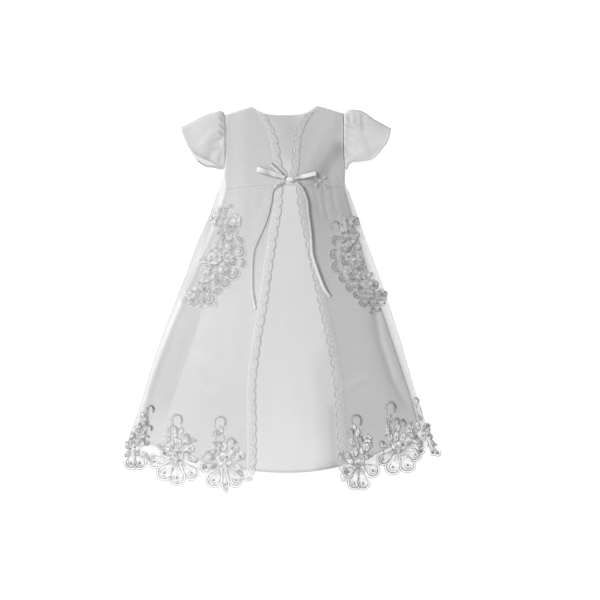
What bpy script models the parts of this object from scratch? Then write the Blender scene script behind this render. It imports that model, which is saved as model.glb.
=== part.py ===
# Christening gown laid flat, front up: a satin A-line dress with cap sleeves under a sheer,
# open-fronted organza overlay with lace trims, corded lace motifs and a ribbon bow.
# +X is to the right as the gown lies, +Y runs from hem to neck, +Z up from the surface.
import math
from collections import namedtuple

import bmesh
import bpy
import numpy as np
from mathutils import Vector
from mathutils.bvhtree import BVHTree

MM = 0.001

# Driving dimensions in millimetres.
CENTRE_X = 13.0            # line that the skirt flares from
WAIST_Y = 200.0            # waist seam on that line
HEM_Y = -303.0             # satin hem on that line
WAIST_BOW = -0.00065       # how far the waist seam drops to its sides, per mm squared
HEM_BOW_LEFT = 0.00085     # how far the hem rises to the left, per mm squared
HEM_BOW_RIGHT = 0.0014     # and to the right
WAIST_SIDES = 194.0        # height of the waist seam towards its sides
SEAM = 0.3                 # between pieces that are sewn edge to edge
GAP = 0.3                  # between pieces that lie on each other

SATIN = 1.4                # dress cloth with its lining
ORGANZA = 1.0
LACE = 1.0                 # ground of a lace piece, before its cords are raised
RIBBON = 1.0

CROWN = 3.4                # how far the dress front stands off the dress back
CROWN_RISE = 0.2           # share of the width over which it rises from the left side
CROWN_FALL = (0.58, 0.86)  # shares between which it falls away on the right
CROWN_EDGE = 0.9           # share from which the right side comes down to the back
CROWN_SHELF = 0.45         # height share of the strip between them
FOLD_AT = 0.86             # long soft trough down the right of the skirt
FOLD_WIDTH = 0.035
FOLD_DEPTH = 0.22
FOLD_ENDS = ((0.1, 0.3), (0.75, 0.95))
GATHERS = 15               # ridges under the waist seam, highest at the right of the bow
GATHER_RISE = 0.55
GATHER_REACH = 34.0        # how fast they die out down the skirt
GATHER_PEAK = 0.72         # share of the width where they are highest
GATHER_SPREAD = 0.13
GATHER_FLOOR = 0.35        # their height share elsewhere
GATHER_SPAN = 500.0        # width that the organza's gathers are spaced over
DRESS_BACK_Z = ORGANZA + GAP
DRESS_FRONT_Z = DRESS_BACK_Z + SATIN + GAP

# Organza hem in skirt lengths from the waist, at even steps from the side to the front edge.
OVERLAY_HEM_LEFT = (1.075, 1.07, 1.03, 1.04, 1.036)
OVERLAY_HEM_RIGHT = (1.09, 1.085, 1.05, 1.05, 1.055)
OVERLAY_BACK_HEM = 0.985
FRONT_EDGE = 5.0           # organza front edge, behind the scallops of its trim
BAND = 0.6                 # where the organza starts down past the dress edge
BAND_RISE = 4.0            # and where it is up on the dress
HEM_DROP = 10.0            # the same past the satin hem
TRIM_PITCH = 19.0          # one scallop of the front trims
TRIM_DEPTH = 3.6
TRIM_WIDTH = 16.0
TRIM_WIDTH_BODICE = 14.0
TRIM_TOP_SLANT = 3.0       # its upper end follows the slope of the neck

# Skirt lines: X where each line crosses the row at the share v of the skirt length.
SkirtRow = namedtuple("SkirtRow", "v overlay_left dress_left open_left open_right dress_right overlay_right")
SKIRT = (
    SkirtRow(0.00, -111.5, -97.5, 2.5, 23.5, 110.9, 115.5),
    SkirtRow(0.08, -124.6, -110.1, 0.2, 28.2, 121.8, 130.0),
    SkirtRow(0.16, -142.4, -123.6, -6.3, 36.2, 133.5, 143.3),
    SkirtRow(0.28, -163.7, -147.9, -15.6, 49.4, 149.2, 164.3),
    SkirtRow(0.42, -188.7, -177.6, -25.5, 64.0, 171.4, 186.0),
    SkirtRow(0.56, -211.5, -203.5, -37.3, 79.5, 192.0, 205.1),
    SkirtRow(0.70, -230.0, -225.0, -44.8, 90.0, 210.6, 221.1),
    SkirtRow(0.85, -246.7, -242.0, -43.9, 95.2, 228.6, 236.8),
    SkirtRow(1.00, -265.3, -259.4, -46.6, 99.6, 242.2, 253.4),
    SkirtRow(1.10, -275.2, -269.0, -60.0, 107.0, 252.0, 263.7),
)

# Bodice side and front edges: X at each height.
EdgeRow = namedtuple("EdgeRow", "y x")
DRESS_SIDE_LEFT = (EdgeRow(190, -97.5), EdgeRow(210, -99.0), EdgeRow(229, -100.0), EdgeRow(260, -98.6),
                   EdgeRow(322, -98.2))
DRESS_SIDE_RIGHT = (EdgeRow(190, 110.9), EdgeRow(210, 110.3), EdgeRow(227, 110.8), EdgeRow(260, 109.6),
                    EdgeRow(325, 109.0))
OVERLAY_SIDE_LEFT = (EdgeRow(190, -111.5), EdgeRow(208, -105.0), EdgeRow(221, -100.5), EdgeRow(229, -99.0),
                     EdgeRow(260, -98.0), EdgeRow(322, -98.0))
OVERLAY_SIDE_RIGHT = (EdgeRow(190, 116.0), EdgeRow(208, 109.0), EdgeRow(221, 105.0), EdgeRow(240, 102.6),
                      EdgeRow(265, 102.0), EdgeRow(325, 102.0))
FRONT_LEFT = (EdgeRow(199, 2.5), EdgeRow(206, 8.0), EdgeRow(213, 11.2), EdgeRow(227, 6.0), EdgeRow(241, -1.0),
              EdgeRow(258, -2.8), EdgeRow(276, -6.3), EdgeRow(295, -13.3), EdgeRow(309, -20.3),
              EdgeRow(321, -27.3), EdgeRow(328, -32.0))
FRONT_RIGHT = (EdgeRow(199, 23.5), EdgeRow(206, 17.0), EdgeRow(213, 13.5), EdgeRow(223, 14.7),
               EdgeRow(235, 16.5), EdgeRow(251, 17.3), EdgeRow(269, 18.2), EdgeRow(286, 20.8),
               EdgeRow(302, 27.0), EdgeRow(314, 34.0), EdgeRow(328, 45.0))

# Upper edge of the bodice from the left shoulder end to the right one.
TopPoint = namedtuple("TopPoint", "x y")
BODICE_TOP = (
    TopPoint(-98.2, 322.0), TopPoint(-75.0, 330.0), TopPoint(-52.7, 337.0), TopPoint(-40.0, 329.5),
    TopPoint(-27.3, 324.3), TopPoint(-8.0, 322.6), TopPoint(11.0, 322.3), TopPoint(30.5, 323.4),
    TopPoint(45.0, 327.0), TopPoint(62.0, 338.6), TopPoint(84.0, 332.5), TopPoint(109.0, 324.5),
)
OVERLAY_TOP_LEFT = (TopPoint(-98.0, 322.3), TopPoint(-75.0, 330.2), TopPoint(-52.7, 337.0),
                    TopPoint(-37.0, 328.0))
OVERLAY_TOP_RIGHT = (TopPoint(50.0, 330.5), TopPoint(62.0, 338.6), TopPoint(82.0, 333.0),
                     TopPoint(102.0, 326.3))

# Sleeves: plan points of the seam, of the fold over the shoulder and of both cuff lines.
SleevePlan = namedtuple("SleevePlan", "seam fold front_hem back_hem")
SLEEVE_LEFT = SleevePlan(
    seam=((-101.2, 228.5), (-99.4, 260.0), (-98.9, 290.0), (-98.9, 321.5)),
    fold=((-98.9, 321.5), (-104.0, 328.6), (-116.0, 326.8), (-176.9, 300.0)),
    front_hem=((-108.0, 230.0), (-120.0, 239.0), (-131.0, 245.0), (-151.0, 254.0), (-163.0, 267.6),
               (-176.9, 300.0)),
    back_hem=((-106.0, 226.0), (-115.0, 230.0), (-131.0, 231.5), (-148.0, 242.0), (-162.0, 265.0),
              (-176.9, 300.0)),
)
SLEEVE_RIGHT = SleevePlan(
    seam=((111.6, 227.0), (110.2, 260.0), (109.7, 292.0), (109.6, 324.3)),
    fold=((109.6, 324.3), (117.0, 330.2), (137.0, 330.0), (163.0, 314.0), (191.5, 298.4)),
    front_hem=((115.0, 229.0), (119.5, 237.5), (138.0, 241.0), (158.0, 245.0), (175.0, 262.0),
               (186.0, 278.0), (191.5, 298.4)),
    back_hem=((115.0, 230.0), (120.5, 239.5), (138.0, 243.5), (156.0, 248.0), (172.0, 264.0),
              (184.0, 280.0), (191.5, 298.4)),
)
SLEEVE_CLOTH = 1.0
SLEEVE_HEIGHT = 3.4        # flattened sleeve at its edges, outside
SLEEVE_PUFF = 2.0          # more at the gathered head
SLEEVE_GATHERS = 7
SLEEVE_GATHER_RISE = 0.5

# Lace motifs: discs that a motif is the outline of, from its flower outwards: petals of the
# scalloped hem, star flowers, stem and curled tip. The outer two turn round the side folds.
Disc = namedtuple("Disc", "x y radius")
Motif = namedtuple("Motif", "name x y core discs")
HEM_MOTIFS = (
    Motif("hem_lace_1", -253.0, -257.0, 9.0, (
        Disc(-17.0, -14.0, 7.5), Disc(-10.5, -24.5, 10.0), Disc(7.0, -23.5, 12.0), Disc(-5.0, 12.0, 9.0),
        Disc(7.0, 28.0, 9.0), Disc(19.0, 30.0, 8.0), Disc(15.0, 50.0, 8.0), Disc(22.5, 66.0, 8.5))),
    Motif("hem_lace_2", -176.0, -272.0, 15.0, (
        Disc(-45.0, -10.5, 15.0), Disc(-28.0, -30.0, 16.0), Disc(-7.0, -38.5, 15.0), Disc(17.5, -30.0, 15.0),
        Disc(-24.5, 31.5, 8.5), Disc(-14.0, 44.0, 9.0), Disc(-7.0, 64.5, 9.5), Disc(8.7, 36.8, 8.0),
        Disc(21.0, 21.0, 9.0), Disc(19.0, -4.0, 10.0))),
    Motif("hem_lace_3", -104.3, -277.4, 14.0, (
        Disc(-28.0, -14.0, 14.0), Disc(-14.0, -36.8, 15.0), Disc(5.0, -47.5, 12.5), Disc(23.0, -35.0, 14.0),
        Disc(-28.0, 10.5, 8.0), Disc(-16.0, 36.8, 8.0), Disc(-2.0, 22.0, 15.0), Disc(-6.0, 42.0, 11.0),
        Disc(-1.0, 61.0, 10.5), Disc(22.8, 31.5, 8.5), Disc(33.0, 5.0, 8.0), Disc(16.0, 12.0, 10.0))),
    Motif("hem_lace_4", 133.7, -280.9, 14.0, (
        Disc(-7.5, -38.5, 14.0), Disc(9.0, -38.0, 14.0), Disc(25.0, -17.5, 14.0), Disc(-17.0, -13.0, 9.0),
        Disc(-14.0, 14.0, 9.0), Disc(-3.0, 28.0, 15.0), Disc(-7.0, 50.0, 11.0), Disc(-1.0, 75.0, 10.0),
        Disc(15.8, 35.0, 9.0), Disc(21.0, 14.0, 8.5))),
    Motif("hem_lace_5", 203.7, -258.1, 14.0, (
        Disc(-28.0, -19.2, 14.0), Disc(-9.0, -33.0, 15.5), Disc(16.0, -27.5, 15.5), Disc(33.0, -9.0, 14.0),
        Disc(-26.0, 9.0, 9.0), Disc(-5.0, 25.0, 15.0), Disc(-13.0, 43.0, 10.0), Disc(-11.0, 68.0, 10.0),
        Disc(8.8, 46.0, 8.0), Disc(19.0, 29.8, 10.0), Disc(22.0, 12.0, 9.0))),
    Motif("hem_lace_6", 251.0, -242.4, 8.0, (
        Disc(22.5, -29.0, 5.0), Disc(14.5, -22.0, 8.5), Disc(-3.0, -15.0, 9.0), Disc(-10.5, 10.0, 7.0),
        Disc(4.0, 18.0, 7.0), Disc(-6.0, 40.0, 6.0), Disc(-17.5, 72.0, 7.5))),
)
SPRIG = Motif("waist_sprig", 69.0, 205.0, 4.0, (
    Disc(-6.0, 7.0, 4.0), Disc(5.0, 9.0, 4.0), Disc(-8.0, -3.0, 4.0), Disc(9.0, -1.0, 4.0),
    Disc(0.0, -9.0, 4.5)))
MOTIF_COLUMNS = 48
MOTIF_RINGS = (0.0, 0.35, 0.72, 1.0)
MOTIF_SWELL = 1.0

# Side motifs: X of the outer and the front edge at each height, and the flowers raised on them.
CrescentRow = namedtuple("CrescentRow", "y side front")
Bump = namedtuple("Bump", "x y radius height")
CRESCENTS = {
    "left": (
        CrescentRow(165.0, -108.0, -84.0), CrescentRow(153.0, -121.5, -73.0),
        CrescentRow(135.6, -126.0, -64.0), CrescentRow(118.0, -114.8, -67.6),
        CrescentRow(104.0, -110.0, -65.8), CrescentRow(86.6, -131.5, -60.6),
        CrescentRow(69.0, -135.5, -60.6), CrescentRow(51.6, -133.0, -67.6),
        CrescentRow(34.0, -141.0, -78.0), CrescentRow(16.6, -165.5, -93.8),
        CrescentRow(-1.0, -170.5, -109.6), CrescentRow(-15.0, -155.0, -122.0)),
    "right": (
        CrescentRow(152.0, 118.0, 94.0), CrescentRow(135.6, 136.5, 84.5),
        CrescentRow(118.0, 132.0, 87.0), CrescentRow(95.4, 127.0, 83.8),
        CrescentRow(72.6, 138.0, 83.0), CrescentRow(51.6, 140.7, 86.5),
        CrescentRow(32.4, 139.0, 98.7), CrescentRow(16.6, 165.0, 111.0),
        CrescentRow(2.6, 181.0, 119.7), CrescentRow(-11.4, 180.0, 132.0),
        CrescentRow(-24.0, 167.0, 146.0)),
}
CRESCENT_BUMPS = {
    "left": (
        Bump(-120.0, 141.0, 12.0, 0.9), Bump(-83.3, 139.0, 15.0, 1.2), Bump(-92.0, 118.0, 11.0, 0.8),
        Bump(-75.0, 102.0, 9.0, 0.9), Bump(-74.0, 84.0, 11.5, 0.9), Bump(-70.0, 64.0, 9.0, 0.9),
        Bump(-85.0, 46.0, 12.0, 0.9), Bump(-99.0, 30.0, 9.5, 0.9), Bump(-113.0, 17.0, 9.5, 0.9),
        Bump(-127.0, 1.0, 12.0, 0.9),
        Bump(-118.0, 72.6, 14.0, 1.2), Bump(-158.0, 5.0, 12.0, 1.1)),
    "right": (
        Bump(94.5, 136.0, 11.0, 0.9), Bump(128.0, 133.0, 11.0, 0.9), Bump(111.0, 120.0, 11.0, 0.8),
        Bump(95.0, 103.0, 9.0, 0.9), Bump(94.0, 79.0, 10.5, 0.9), Bump(97.0, 58.0, 11.0, 0.9),
        Bump(108.0, 39.0, 9.5, 0.9), Bump(120.0, 22.0, 9.0, 0.9), Bump(132.0, 9.0, 9.0, 0.9),
        Bump(142.0, -5.0, 9.0, 0.9), Bump(124.0, 66.0, 14.0, 1.2),
        Bump(169.0, 6.0, 12.0, 1.1), Bump(154.0, -12.0, 11.0, 0.9)),
}
CRESCENT_SCALLOP = 22.0
CRESCENT_DEPTH = 4.0

# Bow: the tails' routes over the cloth, and the loops from the knot to their tips.
TAIL_LEFT = ((5.0, 204.0), (-12.0, 192.0), (-17.0, 168.0), (-25.0, 138.0), (-38.0, 108.0), (-47.0, 86.0),
             (-50.5, 55.0), (-50.5, 18.0), (-46.0, -17.0))
TAIL_RIGHT = ((25.0, 205.0), (34.0, 197.0), (43.2, 177.8), (47.2, 148.0), (51.0, 118.0), (54.2, 77.0),
              (61.0, 54.0), (68.3, 33.8), (78.0, 13.7), (85.5, 5.0))
TAIL_WIDTH = 6.5
TAIL_STEPS = 30
KNOT = (15.0, 209.5)
KNOT_SIZE = (15.0, 9.0, 5.6)
Loop = namedtuple("Loop", "name start tip width")
BOW_LOOPS = (
    Loop("bow_loop_left", (6.2, 212.6), (-42.5, 227.0), 8.5),
    Loop("bow_loop_right", (23.4, 211.0), (60.5, 220.0), 7.5),
)
LOOP_ARCH = 3.6            # room inside a loop
LOOP_NECK = 0.52           # height share of its two strands at the knot
LOOP_TURN = 0.8            # half turns from the tip to the knot
END_LEFT = ((3.0, 216.0), (-7.0, 226.0), (-17.5, 236.5))
END_WIDTH = 5.5

# Edging inside the back cuff of the left sleeve.
CUFF_LACE = ((-113.0, 232.6), (-122.0, 236.0), (-131.0, 236.5), (-139.0, 240.5), (-147.5, 247.0))
CUFF_LACE_WIDTH = 3.6
CUFF_SCALLOPS = 5
CUFF_SCALLOP_DEPTH = 0.5

Finish = namedtuple("Finish", "name colour roughness")
FINISHES = (
    Finish("satin", (0.72, 0.72, 0.73), 0.38),
    Finish("organza", (0.78, 0.78, 0.79), 0.55),
    Finish("lace", (0.74, 0.74, 0.75), 0.62),
    Finish("ribbon", (0.82, 0.82, 0.83), 0.30),
)


def clear_scene():
    for obj in list(bpy.data.objects):
        bpy.data.objects.remove(obj, do_unlink=True)


def make_materials():
    made = {}
    for finish in FINISHES:
        material = bpy.data.materials.new(finish.name)
        material.use_nodes = True
        shader = material.node_tree.nodes["Principled BSDF"]
        shader.inputs["Base Color"].default_value = (*finish.colour, 1.0)
        shader.inputs["Roughness"].default_value = finish.roughness
        shader.inputs["Metallic"].default_value = 0.0
        made[finish.name] = material
    return made


def smooth_step(low, high, value):
    share = min(1.0, max(0.0, (value - low) / (high - low)))
    return share * share * (3.0 - 2.0 * share)


def smooth_between(keys, values, key):
    """A soft line through the values, with the slope at each taken from its neighbours."""
    keys = np.asarray(keys, float)
    values = np.asarray(values, float)
    slopes = np.gradient(values, keys)
    at = int(min(len(keys) - 2, max(0, np.searchsorted(keys, key) - 1)))
    step = keys[at + 1] - keys[at]
    t = (key - keys[at]) / step
    if t <= 0.0 or t >= 1.0:
        return float(np.interp(key, keys, values))
    first = (2 * t**3 - 3 * t**2 + 1) * values[at] + (t**3 - 2 * t**2 + t) * step * slopes[at]
    second = (3 * t**2 - 2 * t**3) * values[at + 1] + (t**3 - t**2) * step * slopes[at + 1]
    return float(first + second)


def skirt_line(name, v):
    return smooth_between([row.v for row in SKIRT], [getattr(row, name) for row in SKIRT], v)


def edge_line(rows, y):
    return smooth_between([row.y for row in rows], [row.x for row in rows], y)


def skirt_y(x, v):
    """Height of the skirt's row v at x: bowed down at the waist and up at the hem."""
    hem_bow = HEM_BOW_LEFT if x < CENTRE_X else HEM_BOW_RIGHT
    bow = WAIST_BOW + (hem_bow - WAIST_BOW) * v
    return WAIST_Y + (HEM_Y - WAIST_Y) * v + bow * (x - CENTRE_X) ** 2


def route(points, t):
    """Point at the share t of a soft line through the points, by their distance apart."""
    plan = np.asarray(points, float)
    steps = np.linalg.norm(np.diff(plan, axis=0), axis=1)
    keys = np.concatenate([[0.0], np.cumsum(steps)]) / steps.sum()
    return np.array([smooth_between(keys, plan[:, axis], t) for axis in range(plan.shape[1])])


def lay_over(plan, trees):
    """Underside of a sheet that lies on the cloth below: each corner clears all of its cells."""
    columns, rows = plan.shape[0] - 1, plan.shape[1] - 1
    shares = np.linspace(0.0, 1.0, 5)
    highest = np.zeros((columns + 1, rows + 1))
    for i in range(columns):
        for j in range(rows):
            top = 0.0
            for s in shares:
                near = plan[i, j] * (1 - s) + plan[i + 1, j] * s
                far = plan[i, j + 1] * (1 - s) + plan[i + 1, j + 1] * s
                for t in shares:
                    x, y = near * (1 - t) + far * t
                    top = max(top, top_at(trees, x, y))
            block = highest[i:i + 2, j:j + 2]
            np.maximum(block, top, out=block)
    return np.where(highest > 0.0, highest + GAP, 0.0)


def top_at(trees, x, y):
    top = 0.0
    for tree in trees:
        hit = tree.ray_cast(Vector((x * MM, y * MM, 1.0)), Vector((0.0, 0.0, -1.0)))[0]
        if hit is not None:
            top = max(top, hit.z / MM)
    return top


class Gown:
    """Keeps the collection, the finishes and a search tree of each piece made so far."""

    def __init__(self):
        self.collection = bpy.data.collections.new("christening_gown")
        bpy.context.scene.collection.children.link(self.collection)
        self.materials = make_materials()
        self.trees = []
        self.root = bpy.data.objects.new("gown", None)
        self.collection.objects.link(self.root)

    def add(self, name, bm, finish):
        bmesh.ops.recalc_face_normals(bm, faces=bm.faces[:])
        mesh = bpy.data.meshes.new(name)
        bm.to_mesh(mesh)
        bm.free()
        mesh.shade_smooth()
        mesh.set_sharp_from_angle(angle=math.radians(40.0))
        mesh.materials.append(self.materials[finish])
        obj = bpy.data.objects.new(name, mesh)
        obj.parent = self.root
        self.collection.objects.link(obj)
        return obj

    def sheet(self, name, plan, low, high, finish, closed=False):
        """Cloth between two heights over a plan grid; closed joins its first and last column."""
        columns, rows = plan.shape[0] - 1, plan.shape[1] - 1
        bm = bmesh.new()
        bmesh.ops.create_grid(bm, x_segments=columns, y_segments=rows, size=0.5)
        lift = bm.verts.layers.float.new("lift")
        for vert in bm.verts:
            i = round((vert.co.x + 0.5) * columns)
            j = round((vert.co.y + 0.5) * rows)
            vert.co = Vector((*plan[i, j], low[i, j])) * MM
            vert[lift] = (high[i, j] - low[i, j]) * MM
        if closed:
            bmesh.ops.remove_doubles(bm, verts=bm.verts[:], dist=1e-6)
        grown = bmesh.ops.extrude_face_region(bm, geom=bm.faces[:], use_keep_orig=True)
        for item in grown["geom"]:
            if isinstance(item, bmesh.types.BMVert):
                item.co.z += item[lift]
        self.trees.append(BVHTree.FromBMesh(bm))
        return self.add(name, bm, finish)

    def laid(self, name, plan, thickness, finish, closed=False):
        """A sheet that lies on everything made before it."""
        low = lay_over(plan, self.trees)
        return self.sheet(name, plan, low, low + thickness, finish, closed)


def grid_of(us, vs, place):
    return np.array([[place(u, v) for v in vs] for u in us], float)


def crown_at(across, down):
    """Height share of the dress front: flat in the middle, falling away to the right."""
    left = smooth_step(0.0, CROWN_RISE, across)
    right = 1.0 - (1.0 - CROWN_SHELF) * smooth_step(*CROWN_FALL, across)
    right -= CROWN_SHELF * smooth_step(CROWN_EDGE, 1.0, across)
    fold = math.exp(-((across - FOLD_AT) / FOLD_WIDTH) ** 2) * smooth_step(*FOLD_ENDS[0], down)
    fold *= 1.0 - smooth_step(*FOLD_ENDS[1], down)
    return max(0.0, left * right - FOLD_DEPTH * fold)


def gathers_at(across, below_waist):
    """Soft ridges under the waist seam, mostly beside the bow."""
    fade = math.exp(-below_waist / GATHER_REACH)
    beside = GATHER_FLOOR + (1.0 - GATHER_FLOOR) * math.exp(-((across - GATHER_PEAK) / GATHER_SPREAD) ** 2)
    return GATHER_RISE * beside * fade * (1.0 + math.cos(across * math.tau * GATHERS + 1.1)) * 0.5


def bodice_plan(left, right, top, rows):
    """Plan grid of a bodice piece under its upper edge, between two side lines."""
    width = top[-1].x - top[0].x

    def place(corner, w):
        share = (corner.x - top[0].x) / width
        low_left = edge_line(left, top[0].y + (WAIST_SIDES - top[0].y) * w)
        low_right = edge_line(right, top[-1].y + (WAIST_SIDES - top[-1].y) * w)
        x = low_left + (low_right - low_left) * share
        bottom = skirt_y(x, 0.0) + SEAM / 2
        return x, corner.y + (bottom - corner.y) * w

    return grid_of(top, np.linspace(0.0, 1.0, rows + 1), place)


def skirt_plan(left, right, us, vs):
    """Plan grid of a skirt piece between two of the skirt lines."""

    def place(u, v):
        x_left = left(v)
        x = x_left + (right(v) - x_left) * u
        return x, skirt_y(x, v) - SEAM / 2

    return grid_of(us, vs, place)


def flat_sheet(gown, name, plan, bottom, thickness, finish):
    low = np.full(plan.shape[:2], bottom)
    gown.sheet(name, plan, low, low + thickness, finish)


def make_backs(gown):
    """Both layers of the back, which lie flat under the rest."""
    us = np.linspace(0.0, 1.0, 9)
    plan = bodice_plan(OVERLAY_SIDE_LEFT, OVERLAY_SIDE_RIGHT, BODICE_TOP, 6)
    flat_sheet(gown, "overlay_back_bodice", plan, 0.0, ORGANZA, "organza")
    plan = skirt_plan(lambda v: skirt_line("overlay_left", v), lambda v: skirt_line("overlay_right", v),
                      us, np.linspace(0.0, OVERLAY_BACK_HEM, 11))
    flat_sheet(gown, "overlay_back_skirt", plan, 0.0, ORGANZA, "organza")
    plan = bodice_plan(DRESS_SIDE_LEFT, DRESS_SIDE_RIGHT, BODICE_TOP, 4)
    flat_sheet(gown, "dress_back_bodice", plan, DRESS_BACK_Z, SATIN, "satin")
    plan = skirt_plan(lambda v: skirt_line("dress_left", v), lambda v: skirt_line("dress_right", v),
                      us, np.linspace(0.0, 1.0, 11))
    flat_sheet(gown, "dress_back_skirt", plan, DRESS_BACK_Z, SATIN, "satin")


def make_dress_front(gown):
    plan = bodice_plan(DRESS_SIDE_LEFT, DRESS_SIDE_RIGHT, BODICE_TOP, 8)
    low = np.zeros(plan.shape[:2])
    for (i, j), _ in np.ndenumerate(low):
        across = (BODICE_TOP[i].x - BODICE_TOP[0].x) / (BODICE_TOP[-1].x - BODICE_TOP[0].x)
        low[i, j] = DRESS_FRONT_Z + CROWN * crown_at(across, 0.0) * smooth_step(-0.5, 2.0, j)
    gown.sheet("dress_front_bodice", plan, low, low + SATIN, "satin")

    us = np.linspace(0.0, 1.0, 19)
    vs = np.concatenate([np.linspace(0.0, 0.16, 5), np.linspace(0.16, 1.0, 13)[1:]])
    plan = skirt_plan(lambda v: skirt_line("dress_left", v), lambda v: skirt_line("dress_right", v), us, vs)
    low = np.zeros(plan.shape[:2])
    high = np.zeros(plan.shape[:2])
    for (i, j), _ in np.ndenumerate(low):
        low[i, j] = DRESS_FRONT_Z + CROWN * crown_at(us[i], vs[j])
        high[i, j] = low[i, j] + SATIN + gathers_at(us[i], (WAIST_Y - HEM_Y) * vs[j])
    gown.sheet("dress_front_skirt", plan, low, high, "satin")


def make_overlay_fronts(gown):
    """The two sheer fronts. Their sides come down past the dress edge on to the overlay back, and
    their hems come down past the satin hem on to the surface."""
    left_edge = tuple(EdgeRow(row.y, row.x - FRONT_EDGE) for row in FRONT_LEFT)
    right_edge = tuple(EdgeRow(row.y, row.x + FRONT_EDGE) for row in FRONT_RIGHT)
    plan = bodice_plan(OVERLAY_SIDE_LEFT, left_edge, OVERLAY_TOP_LEFT, 10)
    gown.laid("overlay_front_bodice_left", split_columns(plan), ORGANZA, "organza")
    plan = bodice_plan(right_edge, OVERLAY_SIDE_RIGHT, OVERLAY_TOP_RIGHT, 10)
    gown.laid("overlay_front_bodice_right", split_columns(plan), ORGANZA, "organza")

    drop = HEM_DROP / (WAIST_Y - HEM_Y)
    vs = np.concatenate([np.linspace(0.0, 0.16, 5), np.linspace(0.16, 1.0, 13)[1:],
                         [1.0 + drop / 12, 1.0 + drop, 2.0]])

    for side, outward, hem in (("left", -1.0, OVERLAY_HEM_LEFT), ("right", 1.0, OVERLAY_HEM_RIGHT)):

        def place(u, v):
            down = v if v < 2.0 else float(np.interp(u / 11.0, np.linspace(0.0, 1.0, len(hem)), hem))
            inner = skirt_line(f"dress_{side}", down)
            x = column_x(u, skirt_line(f"overlay_{side}", down), inner + outward * BAND,
                         inner - outward * BAND_RISE, skirt_line(f"open_{side}", down) + outward * FRONT_EDGE)
            return x, skirt_y(x, down) - SEAM / 2

        plan = grid_of(range(12), vs, place)
        low = lay_over(plan, gown.trees)
        relief = [[gathers_at(0.5 + x / GATHER_SPAN, WAIST_Y - y) for x, y in column] for column in plan]
        high = low + ORGANZA + np.array(relief)
        gown.sheet(f"overlay_front_skirt_{side}", plan, low, high, "organza")


def column_x(u, side, band, inner, edge):
    """X of column u: the side edge, the turn past the dress edge, then evenly to the front edge."""
    if u == 0:
        return side
    if u == 1:
        return band
    return inner + (edge - inner) * (u - 2) / 9.0


def split_columns(plan):
    """Adds a column halfway between each pair."""
    middle = (plan[:-1] + plan[1:]) / 2
    whole = np.zeros((plan.shape[0] * 2 - 1, *plan.shape[1:]))
    whole[0::2] = plan
    whole[1::2] = middle
    return whole


def make_sleeve(gown, name, shape):
    """A cap sleeve pressed flat: a ring of cloth from the armhole seam to the cuff."""
    around, along = 22, 7
    half = around // 2
    shell = bmesh.new()
    bmesh.ops.create_grid(shell, x_segments=around, y_segments=along, size=0.5)
    for vert in shell.verts:
        k = round((vert.co.x + 0.5) * around) % around
        l = round((vert.co.y + 0.5) * along) / along
        on_back = 0 < k < half
        f = k / half if k <= half else (around - k) / half
        hem = shape.back_hem if on_back else shape.front_hem
        seam_point = route(shape.seam, f)
        plan = seam_point * (1 - l) + route(hem, f) * l
        straight = np.asarray(shape.seam[-1]) * (1 - l) + np.asarray(shape.fold[-1]) * l
        plan += f * f * (route(shape.fold, l) - straight)
        puff = SLEEVE_PUFF * math.sin(math.pi * f) ** 0.6 * (1.0 - smooth_step(0.5, 1.0, l))
        ridge = SLEEVE_GATHER_RISE * math.cos(f * math.tau * SLEEVE_GATHERS) * math.sin(math.pi * f)
        top = SLEEVE_HEIGHT + puff + ridge * (1.0 - smooth_step(0.1, 0.55, l))
        height = 0.0 if on_back else top
        if k in (0, half):
            height = SLEEVE_HEIGHT * 0.5
        vert.co = Vector((plan[0], plan[1], height)) * MM
    bmesh.ops.remove_doubles(shell, verts=shell.verts[:], dist=1e-6)
    obj = gown.add(name, shell, "satin")
    wall = obj.modifiers.new("wall", "SOLIDIFY")
    wall.thickness = SLEEVE_CLOTH * MM
    wall.offset = -1.0
    gown.trees.append(evaluated_tree(obj))


def evaluated_tree(obj):
    return BVHTree.FromObject(obj, bpy.context.evaluated_depsgraph_get())


def make_cuff_lace(gown):
    """Scalloped edging that shows inside the back cuff of the left sleeve."""
    steps = 16

    def place(u, t):
        x, y = route(CUFF_LACE, t)
        scallop = CUFF_SCALLOP_DEPTH * abs(math.sin(math.pi * t * CUFF_SCALLOPS))
        return x, y - u * (CUFF_LACE_WIDTH + scallop)

    gown.laid("cuff_lace_left", grid_of((0.0, 1.0), np.linspace(0.0, 1.0, steps + 1), place), LACE, "lace")


def scallop_at(distance, pitch, depth):
    """How far the edge stands back from its outermost line."""
    return depth * (1.0 - abs(math.sin(math.pi * distance / pitch)) ** 0.7)


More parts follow.
